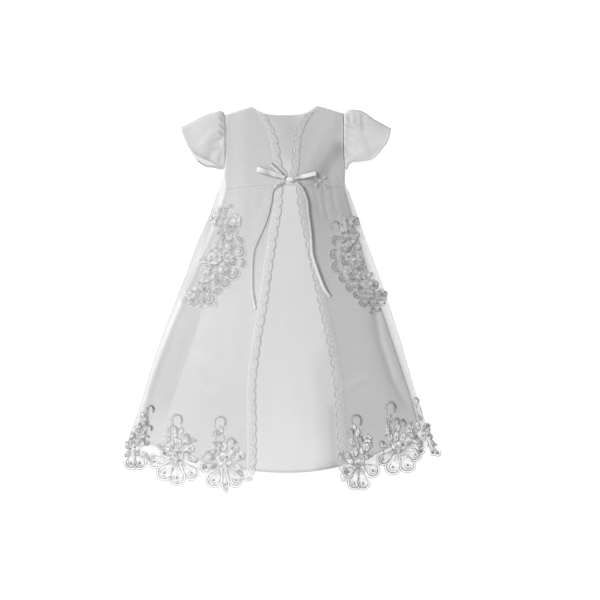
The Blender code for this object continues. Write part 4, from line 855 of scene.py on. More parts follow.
# Lace motifs: where each one's flower is, and its elements by kind, each with its place beside the flower.
# Petals, leaves, sprays, stems, bars and hooks then have a heading and sizes; a petal's third size draws its
# tip out to a point, a stem's or bar's second bends it, a hook's are its stem, curl and tail, turning
# clockwise unless the curl is below nought. Shells have a heading, radius and spread, stars a heading, radius
# and number of petals, roses and beads a radius.
motifs = {
    "hem1": (-253, -257, {
        "leaf": ((9, -8, 308, 20, 9), (-13, -8, 236, 13, 8), (-17, -4, 96, 13, 7), (-11, 12, 80, 14, 7),
            (3, 1, 125, 14, 8), (7, 13, 60, 12, 7), (5, 25, 128, 14, 7), (10, 36, 58, 12, 7),
            (12, 50, 118, 12, 7), (14, 61, 60, 10, 6), (-4, 14, 118, 12, 7), (-10, 2, 100, 12, 7),
            (0, 30, 50, 12, 6)),
        "petal": ((-3, -5, 252, 37, 25), (1, -5, 278, 36, 26)),
        "stem": ((2, -10, 76, 72, -5), (-11, -15, 74, 60, 4), (-16, -4, 60, 74, -3)),
        "star": ((8, 25, 0, 5.5, 5), (18, 6, 0, 4.5, 5), (13, 46, 0, 5, 5), (-1, -10, 0, 6.3, 6)),
        "rose": ((0, 8, 6.5),),
        "bead": ((-8, 6, 2.6), (-13, -4, 2.6), (-4, -1, 2.4), (12, 12, 2.4), (20, 18, 2.4), (6, 40, 2.4)),
        "hook": ((16, 55, 80, 12, 11, 5), (14, 24, 72, 10, 9, 3), (4, 2, 66, 6, 8, 5)),
        "bar": ((15, 60, 284, 8, 0), (20, 46, 256, 9, 0), (16, 26, 270, 6, 0), (-20, -10, 250, 6, 1),
            (23, 38, 300, 7, 1)),
    }),
    "hem2": (-176, -272, {
        "spray": ((-26, 5, 140, 17, 10), (12, 20, 40, 13, 8)),
        "leaf": ((10, -2, 335, 21, 10), (-14, 12, 112, 16, 9), (-5, 12, 78, 17, 9), (3, 7, 48, 16, 9),
            (-18, 7, 158, 14, 8), (-9, 31, 104, 15, 8), (-2, 38, 66, 12, 7)),
        "petal": ((-17, -6, 190, 42, 27), (-11, -8, 232, 43.5, 31), (-8, -10, 272, 43.5, 30),
            (-4, -8, 314, 45.5, 29), (-14, -4, 152, 23, 14)),
        "stem": ((-9, -4, 99, 56, 5),),
        "star": ((-8, -7, 0, 14, 6), (-24, 27, 0, 6, 5), (17, 12, 0, 6.5, 6), (8, 22, 0, 5.2, 5)),
        "rose": ((-8, -6, 6), (-5, 25, 6)),
        "bead": ((-8, 5, 2.4), (-2, 6, 2.4), (-5, 1, 2.2), (25, 26, 2.3)),
        "hook": ((-14, 54, 95, 8, 16, 10), (-23, 38, 88, 6, 16, 3), (5, 31, 75, 2, 9, 4),
            (3, -1, 80, 3, 11, 6)),
        "bar": ((-26, 33, 334, 5, 0), (-26, 21, 45, 7, 0), (-12, 28, 276, 10, 0), (-29, 18, 262, 8, 0),
            (-15, 42, 275, 7, 1), (12, 38, 250, 7, 1)),
    }),
    "hem3": (-104, -277, {
        "leaf": ((23, -9, 300, 26, 10), (-7, -9, 215, 17, 9), (-6, 8, 112, 15, 9), (3, 12, 86, 16, 9),
            (12, 7, 44, 15, 9), (0, 29, 96, 15, 8), (-9, 17, 142, 11, 7), (19, -2, 22, 15, 8),
            (-14, 0, 172, 13, 8), (0, 45, 100, 12, 7)),
        "petal": ((-5, -10, 195, 34, 22), (-4, -13, 247, 41.5, 30), (1, -12, 277, 42, 16, 8),
            (6, -10, 302, 47, 29)),
        "stem": ((0, -7, 98, 60, 7),),
        "star": ((3, -4, 20, 14, 6), (33, 5, 0, 7, 5), (24, 17, 0, 5.2, 5), (-17, 14, 0, 5.6, 5)),
        "rose": ((3, -3, 6),),
        "bead": ((2, -2, 2.4), (9, 2, 2.4), (24, 28, 2.3)),
        "hook": ((-12, 53, 92, 10, 18, 8), (-16, 38, 90, 4, 12, 3), (9, 26, 80, 4, 12, 4),
            (-36, -1, 58, 10, 14, 3), (-13, 18, 88, 3, 13, 2)),
        "bar": ((-10, 45, 301, 11, 0), (-17, 29, 333, 7, 0), (-13, 18, 290, 8, 0), (-5, 22, 282, 9, 0),
            (-13, 8, 270, 10, 0), (16, 22, 282, 9, 1), (18, 10, 315, 9, 0), (29, 7, 307, 9, 0),
            (-5, -13, 270, 8, 0)),
    }),
    "hem4": (134, -281, {
        "spray": ((-21, -3, 118, 18, 10),),
        "leaf": ((-9, -7, 128, 20, 9), (-3, 7, 104, 17, 9), (5, 11, 70, 16, 9), (10, 2, 38, 15, 9),
            (-8, 25, 112, 14, 8), (-2, 40, 84, 16, 7), (-13, 5, 152, 13, 8), (-6, 52, 108, 12, 7)),
        "petal": ((0, -8, 258, 45, 25), (3, -8, 279, 45, 26), (5, -5, 327, 37, 27), (-2, -8, 219, 30, 22)),
        "stem": ((0, -10, 97, 66, 5),),
        "star": ((0, -9, 10, 12, 6), (16, 38, 0, 7, 5), (-7, 13, 0, 6.3, 5), (22, 10, 0, 4.9, 5)),
        "rose": ((-1, -10, 5), (13, 23, 7.2)),
        "bead": ((17, 9, 3), (7, 35, 2.4)),
        "hook": ((-10, 57, 98, 13, 16, 12), (-17, 40, 94, 10, 9, 8), (-3, 30, 84, 8, 9, 3)),
        "bar": ((16, 48, 247, 12, 1), (20, 38, 283, 17, 1), (0, 36, 275, 19, 1), (6, 30, 278, 17, 0),
            (10, 20, 270, 26, 1), (18, 16, 268, 15, 0), (-20, 14, 308, 14, 1), (-10, 2, 285, 11, 1)),
    }),
    "hem5": (204, -258, {
        "leaf": ((-21, 22, 62, 14, 8), (-13, 10, 102, 16, 9), (-4, 10, 90, 17, 9), (5, 10, 70, 15, 9),
            (-16, 27, 118, 13, 7), (-2, 28, 80, 13, 7), (-20, 2, 168, 13, 7), (14, 2, 20, 15, 9)),
        "petal": ((-3, -3, 218, 41, 24), (-2, -5, 256, 45, 31), (3, -5, 297, 43.5, 30), (5, 0, 332, 40, 26)),
        "stem": ((-3, -5, 101, 60, 7),),
        "star": ((0, -4, 0, 14, 6), (20, 32, 0, 6.3, 5), (24, 19, 0, 5, 5)),
        "rose": ((-1, -5, 6), (16, 12, 8)),
        "bead": ((8, 5, 3), (22, 42, 2.4)),
        "hook": ((-20, 57, 96, 13, 15, 12), (-8, 36, 92, 9, 9, 9), (3, 36, 84, 7, 8, 6),
            (-33, 0, 96, 6, 8, 4)),
        "bar": ((-21, 52, 276, 18, 0), (-18, 50, 308, 11, 0), (-14, 59, 284, 8, 0), (6, 48, 350, 5, 2),
            (-9, 33, 270, 13, 2), (-24, 19, 53, 10, 0), (-17, 20, 50, 8, 0), (-31, 0, 285, 17, 3),
            (-17, 8, 295, 19, 1), (20, 38, 290, 16, 1), (25, 2, 309, 20, 1)),
    }),
    "hem6": (251, -242, {
        "leaf": ((-11, 14, 108, 14, 7), (-3, 11, 76, 14, 7), (-14, 1, 150, 10, 6), (-9, 31, 110, 11, 5),
            (10, -9, 340, 12, 6), (-12, -2, 285, 13, 8), (-18, 6, 300, 14, 7), (9, -2, 300, 13, 6),
            (-8, -6, 262, 12, 6)),
        "petal": ((-5, 0, 264, 29, 15), (3, -7, 300, 27, 12), (8, -8, 307, 29, 12)),
        "stem": ((-2, 1, 104, 60, 2),),
        "star": ((4, 21, 0, 5.6, 5), (-12, -10, 0, 5.5, 5), (9, 2, 0, 5, 5)),
        "rose": ((-4, 0, 6), (4, 8, 5.5)),
        "bead": ((11, 0, 2.3), (8, 14, 2.3), (-18, -2, 2.4), (-6, -14, 2.2)),
        "hook": ((-20, 56, 96, 8, 9, 6),),
        "bar": ((-17, 60, 290, 7, 0), (-10, 57, 283, 17, 1), (-6, 40, 260, 11, 1), (1, 26, 300, 9, 1),
            (-18, 10, 305, 12, 0), (3, -2, 280, 14, 1)),
    }),
    "left": (-94, 78, {
        "spray": ((-14, 78, 22, 25, 9),),
        "leaf": ((-13, 73, 112, 14, 7), (-10, 17, 122, 15, 8), (0, 24, 62, 13, 8), (-30, -21, 205, 15, 8),
            (-23, -32, 238, 15, 8), (-35, -44, 192, 15, 8), (-47, -56, 200, 15, 8), (-37, -12, 170, 13, 7)),
        "shell": ((19, 24, 30, 9, 230), (20, 6, 0, 11.5, 220), (24, -14, 350, 8.5, 220),
            (9, -32, 325, 12, 220), (-5, -48, 318, 9.5, 220), (-19, -61, 312, 9.5, 220),
            (-33, -77, 300, 12, 230), (7, 12, 150, 7, 240), (-2, -12, 20, 7, 240), (8, -12, 345, 8, 240),
            (-4, -29, 330, 8, 240), (-19, -44, 315, 7, 240), (-38, -58, 300, 7, 240)),
        "petal": ((8, 33, 92, 21, 20),),
        "stem": ((7, 26, 262, 60, -10), (-10, -33, 222, 56, -7)),
        "star": ((-26, 63, 0, 8, 5), (12, 60, 0, 12, 6), (-24, -4, 10, 14, 7), (-2, 12, 0, 7.7, 5),
            (2, -6, 0, 8, 6), (-66, -71, 0, 9, 5), (-52, -54, 0, 6.3, 5), (-38, -32, 0, 6, 5)),
        "rose": ((12, 60, 4), (-24, -4, 6), (-9, -24, 8)),
        "bead": ((-15, 49, 2.8), (-12, 43, 2.8), (-17, 37, 2.6), (-9, 36, 2.8), (-15, 28, 2.8), (-24, 73, 3),
            (-54, -84, 2.8), (-60, -88, 2.6), (-47, -90, 2.6), (-70, -62, 2.8)),
        "hook": ((-4, 40, 100, 4, 12, 3), (-19, -16, 200, 8, 11, 3), (-5, 33, 250, 7, 10, 3)),
        "bar": ((1, 65, 262, 13, 1), (23, 67, 268, 12, -1), (-4, 46, 300, 12, 1), (19, 41, 235, 12, 0),
            (-30, 12, 268, 9, 0), (-21, 66, 275, 8, 0), (-36, 1, 245, 12, 1), (-38, -17, 280, 12, 1),
            (14, -25, 290, 13, -2), (-66, -70, 262, 8, 0), (-43, -77, 262, 8, 0), (-7, -22, 250, 12, 1),
            (-19, -80, 262, 12, 1), (-71, -73, 255, 8, 0)),
    }),
    "right": (123, 66, {
        "leaf": ((-10, 50, 98, 28, 9), (-5, 54, 78, 26, 8), (-14, 50, 124, 19, 8), (5, 54, 308, 13, 7),
            (18, -39, 340, 15, 8), (0, 31, 62, 15, 8), (5, 22, 30, 13, 8), (-3, 21, 120, 13, 7),
            (25, -25, 20, 13, 7), (-5, 38, 280, 14, 7)),
        "shell": ((-28, 37, 155, 9, 230), (-29, 13, 180, 10.5, 220), (-26, -8, 195, 11, 220),
            (-15, -27, 212, 9.5, 220), (-3, -44, 222, 9, 220), (9, -57, 225, 8, 220), (19, -71, 222, 8, 220),
            (-9, 22, 200, 7, 240), (-11, 1, 185, 8, 240), (1, -25, 210, 8, 240), (14, -43, 220, 7, 240),
            (13, -10, 60, 8, 240)),
        "stem": ((-7, 42, 276, 60, 9), (7, -14, 310, 60, 5)),
        "star": ((4, 70, 20, 10, 6), (8, 1, 0, 11, 6), (-6, 8, 0, 7, 5), (16, -23, 0, 8.8, 6),
            (52, -58, 0, 11, 5), (38, -40, 0, 9.1, 5), (32, -56, 0, 7.4, 5), (19, -7, 0, 6, 5)),
        "rose": ((-12, 26, 8), (-7, -14, 7.7)),
        "bead": ((29, -70, 3.1), (36, -81, 3.1), (44, -71, 3), (33, -88, 3), (22, -77, 2.8), (49, -83, 2.8),
            (57, -72, 2.6)),
        "hook": ((-21, 56, 104, 9, -14, 3), (-19, 45, 250, 5, -10, 3)),
        "bar": ((14, 8, 300, 14, 1), (0, 2, 262, 10, 0), (4, -8, 320, 10, 0), (-12, 80, 275, 22, 1),
            (-18, 56, 300, 9, 0), (4, 79, 265, 9, 0), (-18, 26, 300, 14, 1), (-10, -4, 280, 7, 0),
            (8, -44, 290, 9, 1), (44, -36, 275, 12, 1), (51, -47, 280, 9, 0), (30, -50, 275, 11, 0),
            (2, 20, 262, 13, 0), (12, -12, 250, 10, 0), (37, -76, 270, 9, 0), (10, -20, 300, 12, 1),
            (26, -60, 285, 12, 1)),
    }),
    "sprig": (69, 205, {
        "leaf": ((2, 5, 50, 7, 3), (-6, -2, 215, 7, 3), (3, -3, 320, 7, 3), (-5, 6, 130, 6, 3)),
        "star": ((-3, 2, 0, 3, 5), (-10, 8, 30, 2.6, 5), (8, -9, 50, 2.8, 5), (7, 8, 10, 2.5, 5),
            (-8, -8, 15, 2.6, 5)),
        "bead": ((0, -12, 1.4), (12, 1, 1.5), (-13, 1, 1.4)),
    }),
}
laceWork = {
    "cord": 0.6, "bold": 0.8, "bar": 0.7, "fine": 0.34, "inset": 3.8, "petalRise": 0.7, "leafRise": 0.4,
    "roseRise": 0.5, "starRise": 0.45, "dropRise": 0.5, "uneven": 0.5, "netLift": 0.3,
    "heart": 0.46, "drop": (6.4, 4.8, 3.4), "stitches": (-20.0, 0.0, 20.0),     # inside a petal
    "rim": slice(9, 32), "curlFrom": 21.0,
    "sprayShares": (0.3, 0.55, 0.8, 1.0), "scale": 7.0, "scalePitch": 10.5, "scaleMargins": (6.0, -21.0),
    # shell rings: share of radius and shade, light and dark in turn, painted light and shade of the cord
    # relief
    "shell": ((1.0, 1.35), (0.74, 0.5), (0.5, 1.3), (0.28, 0.55)), "shellGap": 8.0,
    # net: the right side is toned darker, a painted shade
    "net": {"left": 1.18, "right": 0.98},
}
# Tones of cords, fillings, drops, leaves and petals, then flatness, rise, depth of painted shade, and cords'
# size; the lower tones of the right-hand motifs are painted shade.
laceTones = {
    "hem1": ((1.0, 0.84, 0.9, 0.84, 1.02), 0.65, 0.8, 0.55),
    "leftHem": ((1.4, 0.91, 1.0, 0.90, 1.05), 0.5, 0.35, 0.26),
    "rightHem": ((1.0, 1.0, 0.86, 0.92, 1.1), 0.6, 0.6, 0.5),
    "hem6": ((0.95, 0.92, 0.85, 0.92, 0.96), 0.6, 0.6, 0.5),
    "left": ((1.5, 0.77, 1.1, 0.79, 0.92), 0.4, 0.12, 0.42, 0.8),
    "right": ((0.92, 0.66, 0.86, 0.68, 0.8), 0.4, 0.12, 0.55, 0.8),
    "sprig": ((1.15, 0.72, 0.9, 0.74, 0.9), 0.4, 0.2, 0.18),
}


def heading(angle):
    a = math.radians(angle)
    return np.array([math.cos(a), math.sin(a)]), np.array([-math.sin(a), math.cos(a)])


def paintedSideShade(line, towards, deep):
    # painted shade: a loop is darker on the side that faces this heading and lighter on the other
    return 1.0 - deep * unit(line - line.mean(axis=0)) @ heading(towards)[0]


def petalLine(x, y, angle, length, width, point=0.0, inset=0.0, count=40):
    # from its root round a wide tip and back; drawn out to a point where asked
    along, across = heading(angle)
    radius = width / 2.0 - inset
    middle = length - width / 2.0
    root = 1.2 * inset
    t = shares(count)[:-1] * math.tau
    s, half = middle - np.cos(t) * radius, np.sin(t) * radius
    if middle - root > radius:                     # straight sides from the root to the round tip
        touch = math.acos(radius / (middle - root))
        t = np.minimum(t, math.tau - t)
        share, rim = np.minimum(t / touch, 1.0), np.maximum(t, touch)
        s = np.where(t < touch, root + (middle - math.cos(touch) * radius - root) * share,
                     middle - np.cos(rim) * radius)
        half = np.where(t < touch, math.sin(touch) * radius * share**0.8, np.sin(rim) * radius)
        half[count // 2 + 1:] *= -1.0
    s = s + point * np.clip((s - middle) / radius, 0.0, 1.0) ** 3
    half = half * (1.0 - 0.35 * min(point, 1.0) * np.clip((s - middle) / (radius + point), 0.0, 1.0))
    return (x, y) + np.outer(s, along) + np.outer(half, across)


def leafLine(x, y, angle, length, width, count=22):
    along, across = heading(angle)
    t = np.arange(count) * math.tau / count
    half = np.sin(t) * np.abs(np.sin(t)) ** 0.25 * width / 2.0
    return (x, y) + np.outer(length * (1.0 - np.cos(t)) / 2.0, along) + np.outer(half, across)


def sewLine(work, line, size, shade=1.0, **ways):
    # a cord of a size named in laceWork, or of this many of its usual cords
    radius = laceWork[size] if isinstance(size, str) else laceWork["cord"] * size
    addCord(work, line, radius, shade=shade, **ways)


def addFilled(work, outline, rise, slot, size, towards, gain=1.0):
    # a raised filling with a cord round it, its cord painted darker on the side that faces towards
    addPad(work, outline, rise, slot)
    sewLine(work, outline, size, gain * paintedSideShade(outline, towards, work["deep"]), closed=True)


def addPetal(work, x, y, angle, length, width, point=0.0):
    along, _ = heading(angle)
    inner = petalLine(x, y, angle, length, width, point, laceWork["inset"])
    addPad(work, inner, laceWork["petalRise"], 4)
    for turn in laceWork["stitches"]:              # fanning from the root
        out, _ = heading(angle + turn)
        sewLine(work, (x, y) + np.outer(length * (0.2 + 0.24 * shares(4)), out), "fine", sides=4)
    heart = (x, y) + along * (length - width * laceWork["heart"])
    dropLength, dropWidth, dropBack = laceWork["drop"]
    drop = petalLine(*(heart - along * dropBack), angle, dropLength, dropWidth, count=12)
    addPad(work, drop, laceWork["dropRise"], 2)
    shade = 0.84 * paintedSideShade(inner, angle - 20.0, 0.75 * work["deep"])
    sewLine(work, inner, 1.8 - 0.7 * shade, shade, closed=True)
    sewLine(work, petalLine(x, y, angle, length, width, point)[laceWork["rim"]], 0.85, 0.75)
    if width > laceWork["curlFrom"]:               # a curl inside the widest
        turn = math.radians(angle) + np.linspace(-2.5, 0.9, 14)
        sewLine(work, arc(*heart, width * 0.26 - 1.6, turn), 0.95, 0.72)


def addLeaf(work, x, y, angle, length, width):
    addFilled(work, leafLine(x, y, angle, length, width), laceWork["leafRise"], 3, 0.8, -30.0)
    vein = (x, y) + np.outer(np.linspace(1.0, length * 0.85, 7), heading(angle)[0])
    sewLine(work, vein, "fine", sides=4)


def addHook(work, x, y, angle, stem, curl, tail):
    # a straight stem that turns back into a short tail
    along, across = heading(angle)
    way, radius = -math.copysign(1.0, curl), abs(curl) / 2.0
    across = across * way
    up = shares(5)[:-1]
    arch = arc(0.0, 0.0, radius, shares(17) * math.pi) @ np.stack([-across, along])
    arch = (x, y) + along * stem + across * radius + arch
    back = arch[-1] - np.outer(up[1:] * tail, along) - np.outer(up[1:] ** 2 * tail * 0.3, across)
    line = np.concatenate([(x, y) + np.outer(up * stem, along), arch, back])
    shade = paintedSideShade(line, 20.0, work["deep"])
    addCord(work, line, laceWork["bold"] * (1.8 - 0.8 * shade), sides=6, taper=0.6, shade=shade * 0.9)
    # a paler fine cord beside the bold one, a painted highlight
    ahead = unit(np.gradient(line, axis=0)) * way
    light = line + 2.1 * pair(ahead[:, 1], -ahead[:, 0])
    sewLine(work, light[3:-2], "fine", 1.25, sides=4)
    addBead(work, *line[-1], 1.2, shade=0.9)


def addStar(work, x, y, angle, radius, petals):
    wide = 2.0 * radius * math.sin(math.pi / petals) * 0.8
    for k in range(petals):
        turn = angle + k * 360.0 / petals + 20.0
        root = (x, y) + heading(turn)[0] * radius * 0.22
        outline = petalLine(*root, turn, radius * 0.8, wide, count=14)
        addFilled(work, outline, laceWork["starRise"], 1, 0.6, -40.0, 1.1)
    addBead(work, x, y, radius * 0.2)


def addRose(work, x, y, radius):
    t = np.arange(30) * math.tau / 30
    outline = arc(x, y, radius * (0.93 + 0.09 * np.cos(5 * t + 0.6)), t)
    addFilled(work, outline, laceWork["roseRise"], 1, 0.8, -20.0)
    coil = shares(23)
    sewLine(work, arc(x, y, radius * (0.62 - 0.36 * coil), 1.2 * math.tau * coil + 1.0), 0.6, 1.15)
    addBead(work, x, y, radius * 0.14, slot=1)


def addShell(work, x, y, angle, radius, spread):
    # a scallop of part rings, one inside another, round a bead
    turn = math.radians(angle) + math.radians(spread) * (shares(24) - 0.5)
    for share, shade in laceWork["shell"]:
        sewLine(work, arc(x, y, radius * share, turn), 1.0, shade, sides=4)
    addBead(work, x, y, 0.9, slot=1)


def addStem(work, x, y, angle, length, bend, size="cord", shade=1.0):
    along, across = heading(angle)
    t = np.linspace(0.0, 1.0, max(8, int(length / 2.4)))
    line = (x, y) + np.outer(length * t, along) + np.outer(bend * np.sin(math.pi * t), across)
    sewLine(work, line, size, shade)


def addBar(work, x, y, angle, length, bend):
    addStem(work, x, y, angle, length, bend, "bar", 0.8)


def addSpray(work, x, y, angle, length, size):
    along, _ = heading(angle)
    sewLine(work, (x, y) + np.outer(length * shares(8), along), 0.8)
    for share in laceWork["sprayShares"]:
        root = (x, y) + along * length * share * 0.92
        for way in (-52.0, 52.0):
            leaf = leafLine(*root, angle + way, size * 0.5, size * 0.24, 10)
            addCord(work, leaf, laceWork["fine"] * 1.2, closed=True, sides=4)


def addKnot(work, x, y, radius):
    addBead(work, x, y, radius * 0.6, shade=0.85)
    addCord(work, ringOf(x, y, radius * 0.8, 10), laceWork["fine"] * 1.2, closed=True, sides=4, shade=0.9)


def addScales(work, rows):
    # the ground of a side motif: rows of small scalloped scales between its two edges
    for j, y in enumerate(np.arange(rows[0, 0] - 9.0, rows[-1, 0] + 7.0, -laceWork["scalePitch"])):
        ends = [np.interp(-y, -rows[:, 0], rows[:, k]) for k in (1, 2)]
        way = math.copysign(1.0, ends[1] - ends[0])
        ends = [end + way * margin for end, margin in zip(ends, laceWork["scaleMargins"])]
        for x in np.arange(ends[0] + way * (j % 2) * 4.0, ends[1], way * laceWork["scalePitch"]):
            for share in (1.0, 0.6):
                turn = np.linspace(-1.9, 1.9, 14) + (-0.5 if way > 0 else math.pi + 0.5)
                scale = arc(x, y, laceWork["scale"] * share, turn)
                sewLine(work, scale, 0.75, paintedSideShade(scale, -30.0, work["deep"]), sides=4)
            addBead(work, x, y, 1.0, slot=1)


stitchers = {"spray": addSpray, "leaf": addLeaf, "shell": addShell, "petal": addPetal, "stem": addStem,
             "star": addStar, "rose": addRose, "bead": addKnot, "hook": addHook, "bar": addBar}    # in order

# The net behind each motif: discs (x, y, radius) round its flower that the net is the outline of.
nets = {
    "hem1": (9, ((-17, -14, 7.5), (-10.5, -24.5, 10), (7, -23.5, 12), (-5, 12, 9), (7, 28, 9), (19, 30, 8),
                  (15, 50, 8), (22.5, 66, 8.5))),
    "hem2": (15, ((-45, -10.5, 15), (-28, -30, 16), (-7, -38.5, 15), (17.5, -30, 15), (-24.5, 31.5, 8.5),
                   (-14, 44, 9), (-7, 64.5, 9.5), (8.7, 36.8, 8), (21, 21, 9), (19, -4, 10))),
    "hem3": (14, ((-28, -14, 14), (-14, -36.8, 15), (5, -47.5, 12.5), (23, -35, 14), (-28, 10.5, 8),
                   (-16, 36.8, 8), (-2, 22, 15), (-6, 42, 11), (-1, 61, 10.5), (22.8, 31.5, 8.5), (33, 5, 8),
                   (16, 12, 10))),
    "hem4": (14, ((-7.5, -38.5, 14), (9, -38, 14), (25, -17.5, 14), (-17, -13, 9), (-14, 14, 9),
                   (-3, 28, 15), (-7, 50, 11), (-1, 75, 10), (15.8, 35, 9), (21, 14, 8.5))),
    "hem5": (14, ((-28, -19.2, 14), (-9, -33, 15.5), (16, -27.5, 15.5), (33, -9, 14), (-26, 9, 9),
                   (-5, 25, 15), (-13, 43, 10), (-11, 68, 10), (8.8, 46, 8), (19, 29.8, 10), (22, 12, 9))),
    "hem6": (8, ((22.5, -29, 5), (14.5, -22, 8.5), (-3, -15, 9), (-10.5, 10, 7), (4, 18, 7), (-6, 40, 6),
                  (-17.5, 72, 7.5))),
    "sprig": (5, ((-8, 8, 5), (6, 9, 5), (-9, -3, 5), (10, -1, 5), (1, -10, 5.5), (9, -9, 5))),
}
crescents = {                      # (y, side edge, front edge) of the nets at the skirt's sides
    "left": ((165, -108, -84), (153, -121.5, -73), (135.6, -126, -64), (118, -114.8, -67.6),
             (104, -110, -65.8), (86.6, -131.5, -60.6), (69, -135.5, -60.6), (51.6, -133, -67.6),
             (34, -141, -78), (16.6, -165.5, -93.8), (-1, -170.5, -109.6), (-15, -155, -122)),
    "right": ((152, 118, 94), (135.6, 136.5, 84.5), (118, 132, 87), (95.4, 127, 83.8), (72.6, 138, 83),
              (51.6, 140.7, 86.5), (32.4, 139, 98.7), (16.6, 165, 111), (2.6, 181, 119.7), (-11.4, 180, 132),
              (-24, 167, 146)),
}


def netReach(core, discs, angle):
    reach = np.full(angle.shape, core)
    for x, y, radius in discs:
        off, far = angle - math.atan2(y, x), math.hypot(x, y)
        half = radius**2 - (far * np.sin(off)) ** 2
        hit = (np.cos(off) > 0.0) & (half > 0.0)
        reach = np.where(hit, np.maximum(reach, far * np.cos(off) + np.sqrt(np.maximum(half, 0.0))), reach)
    return reach


def crescentPlan(rows, side, shells):
    down = np.linspace(rows[0, 0], rows[-1, 0], 90)
    outer, inner = (np.interp(-down, -rows[:, 0], rows[:, k]) for k in (1, 2))
    way = 1 if side == "left" else -1
    inner = (inner - way * laceWork["shellGap"]) * way
    for x, y, radius in shells:                    # the front edge follows the shells
        half = (radius + 1.2) ** 2 - (down - y) ** 2
        bulge = x * way + np.sqrt(np.maximum(half, 0.0))
        inner = np.where(half > 0.0, np.maximum(inner, bulge), inner)
    x0, x1 = (outer, inner * way)[::way]
    return pair(x0 + (x1 - x0) * shares(25)[:, None], down)


def makeMotif(key, node):
    side = "left" if key in ("left", "hem1", "hem2", "hem3") else "right"
    x, y, elements = motifs[key]
    closed = key in nets
    if closed:
        angle = shares(144) * math.tau
        reach = netReach(*nets[key], angle)[:, None] * np.linspace(0.03, 1.0, 14)
        plan = arc(x, y, reach, angle[:, None])[::-1]
    else:
        rows = np.array(crescents[key], float)
        shells = [(x + shell[0], y + shell[1], shell[3]) for shell in elements["shell"]]
        plan = crescentPlan(rows, side, shells)
    points = layOver(plan, laceWork["netLift"], 4)
    if closed:
        points[0, :, 2] = points[-1, :, 2] = np.maximum(points[0, :, 2], points[-1, :, 2])
        points[:, 0, 2] = points[:, 0, 2].max()
    layPiece(node, points, "net", laceWork["net"][side], closed)
    work = newWork(*laceTones.get(key, laceTones[side + "Hem"]))
    if not closed:
        addScales(work, rows)
    for kind, stitch in stitchers.items():
        for across, up, *sizes in elements.get(kind, ()):
            stitch(work, x + across, y + up, *sizes)
    workPiece(node + "_cords", work, ("cord", "fill", "drop", "fill", "petalNet"), "lace",
              lambda x, y: 1.0 + laceWork["uneven"] * softWaves(x, y, 9.0, 5))
    print("lace motif", node, len(work["faces"]), "faces")


for number in range(1, 7):
    makeMotif("hem%d" % number, "hem_lace_%d" % number)
for side in ("left", "right"):
    makeMotif(side, "side_lace_" + side)
makeMotif("sprig", "waist_sprig")


# Ribbon bow: two long tails, a short end, the knot and two loops.
bow = {
    "tails": {                                     # line, widths down it, heights of its left and right edge
        "tail_left": (                             # over what it lies on, and tones across and down it: painted shade and light on the ribbon
            ((5, 204), (-12, 192), (-17, 168), (-25, 138), (-38, 108), (-47, 86), (-50.5, 55), (-50.5, 18),
             (-46, -17)),
            (3.0, 2.8, 3.0, 3.8, 4.2), (2.0, 0.3), (0.7, 0.66, 0.6, 0.5, 0.45, 0.45),
            (0.95, 1.05, 1.3, 1.6, 1.65)),
        "tail_right": (
            ((25, 205), (34, 197), (43.2, 177.8), (47.2, 148), (51, 118), (54.2, 77), (61, 54),
             (68.3, 33.8), (78, 13.7), (85.5, 5)),
            (4.2, 4.4, 5.0, 6.0, 6.4), (0.6, 1.7), (0.86, 0.84, 0.78, 0.66, 0.45, 0.32),
            (0.8, 0.76, 0.78, 1.0, 1.08, 1.0)),
        "end_left": (((3, 216), (-7, 226), (-17.5, 236.5)), (5.5, 5.5), (0.6, 0.1),
                     (1.0, 0.95, 0.75, 0.55, 0.45, 0.4), (1.0, 1.0, 0.8)),
    },
    "steps": {"end_left": 30}, "ripple": 0.35, "thick": 0.25,
    # knotTone tones the knot down, a painted shade
    "knot": (15, 209.5), "knotSize": (14, 8.6, 5.4), "knotTone": 0.92, "knotRound": 0.85, "knotFolds": 0.07,
    "loops": {"left": ((6.2, 212.6), (-42.5, 227), 8.5), "right": ((23.4, 211), (60.5, 220), 7.5)},
    "loopArch": 4.6, "loopNeck": 0.52, "loopTurn": 0.8, "loopPinch": 0.62,
    # loopShade: painted shade strokes on the loops, along their middles and lower edges
    "loopShade": ((3, 0.16, -38, 224, -8, 216), (6, 0.3, -27, 228, -23, 213), (6, 0.25, -4, 222, -2, 208),
                  (2.2, 0.25, -48, 222, 6, 207), (6, 0.4, 28, 216, 29, 206), (2, 0.4, 22, 207, 64, 215)),
}


def ribbonPiece(name, line, width, tilt, tone, down):
    t = shares(bow["steps"].get(name, 150))
    line = route(line, t)
    width, down = (np.interp(t, shares(len(each) - 1), each) for each in (width, down))
    ahead = unit(np.gradient(line, axis=0))
    side = pair(-ahead[:, 1], ahead[:, 0])
    side = side * math.copysign(1.0, side[len(side) // 2, 0])
    plan = line + (shares(5) - 0.5)[:, None, None] * side * width[:, None]
    flat = softStep(0.0, 0.06, t) * (1.0 - softStep(0.9, 1.0, t))
    turned = tilt[0] + (tilt[1] - tilt[0]) * shares(5)[:, None] + bow["ripple"] * np.sin(t * 17.0 + 1.0) ** 2
    z = layOver(plan, 0.3, 8)[..., 2].max(axis=0) + turned * flat
    layPiece("bow_" + name, np.dstack([plan, z]), "ribbon", np.outer(tone, down).ravel(), thick=bow["thick"])


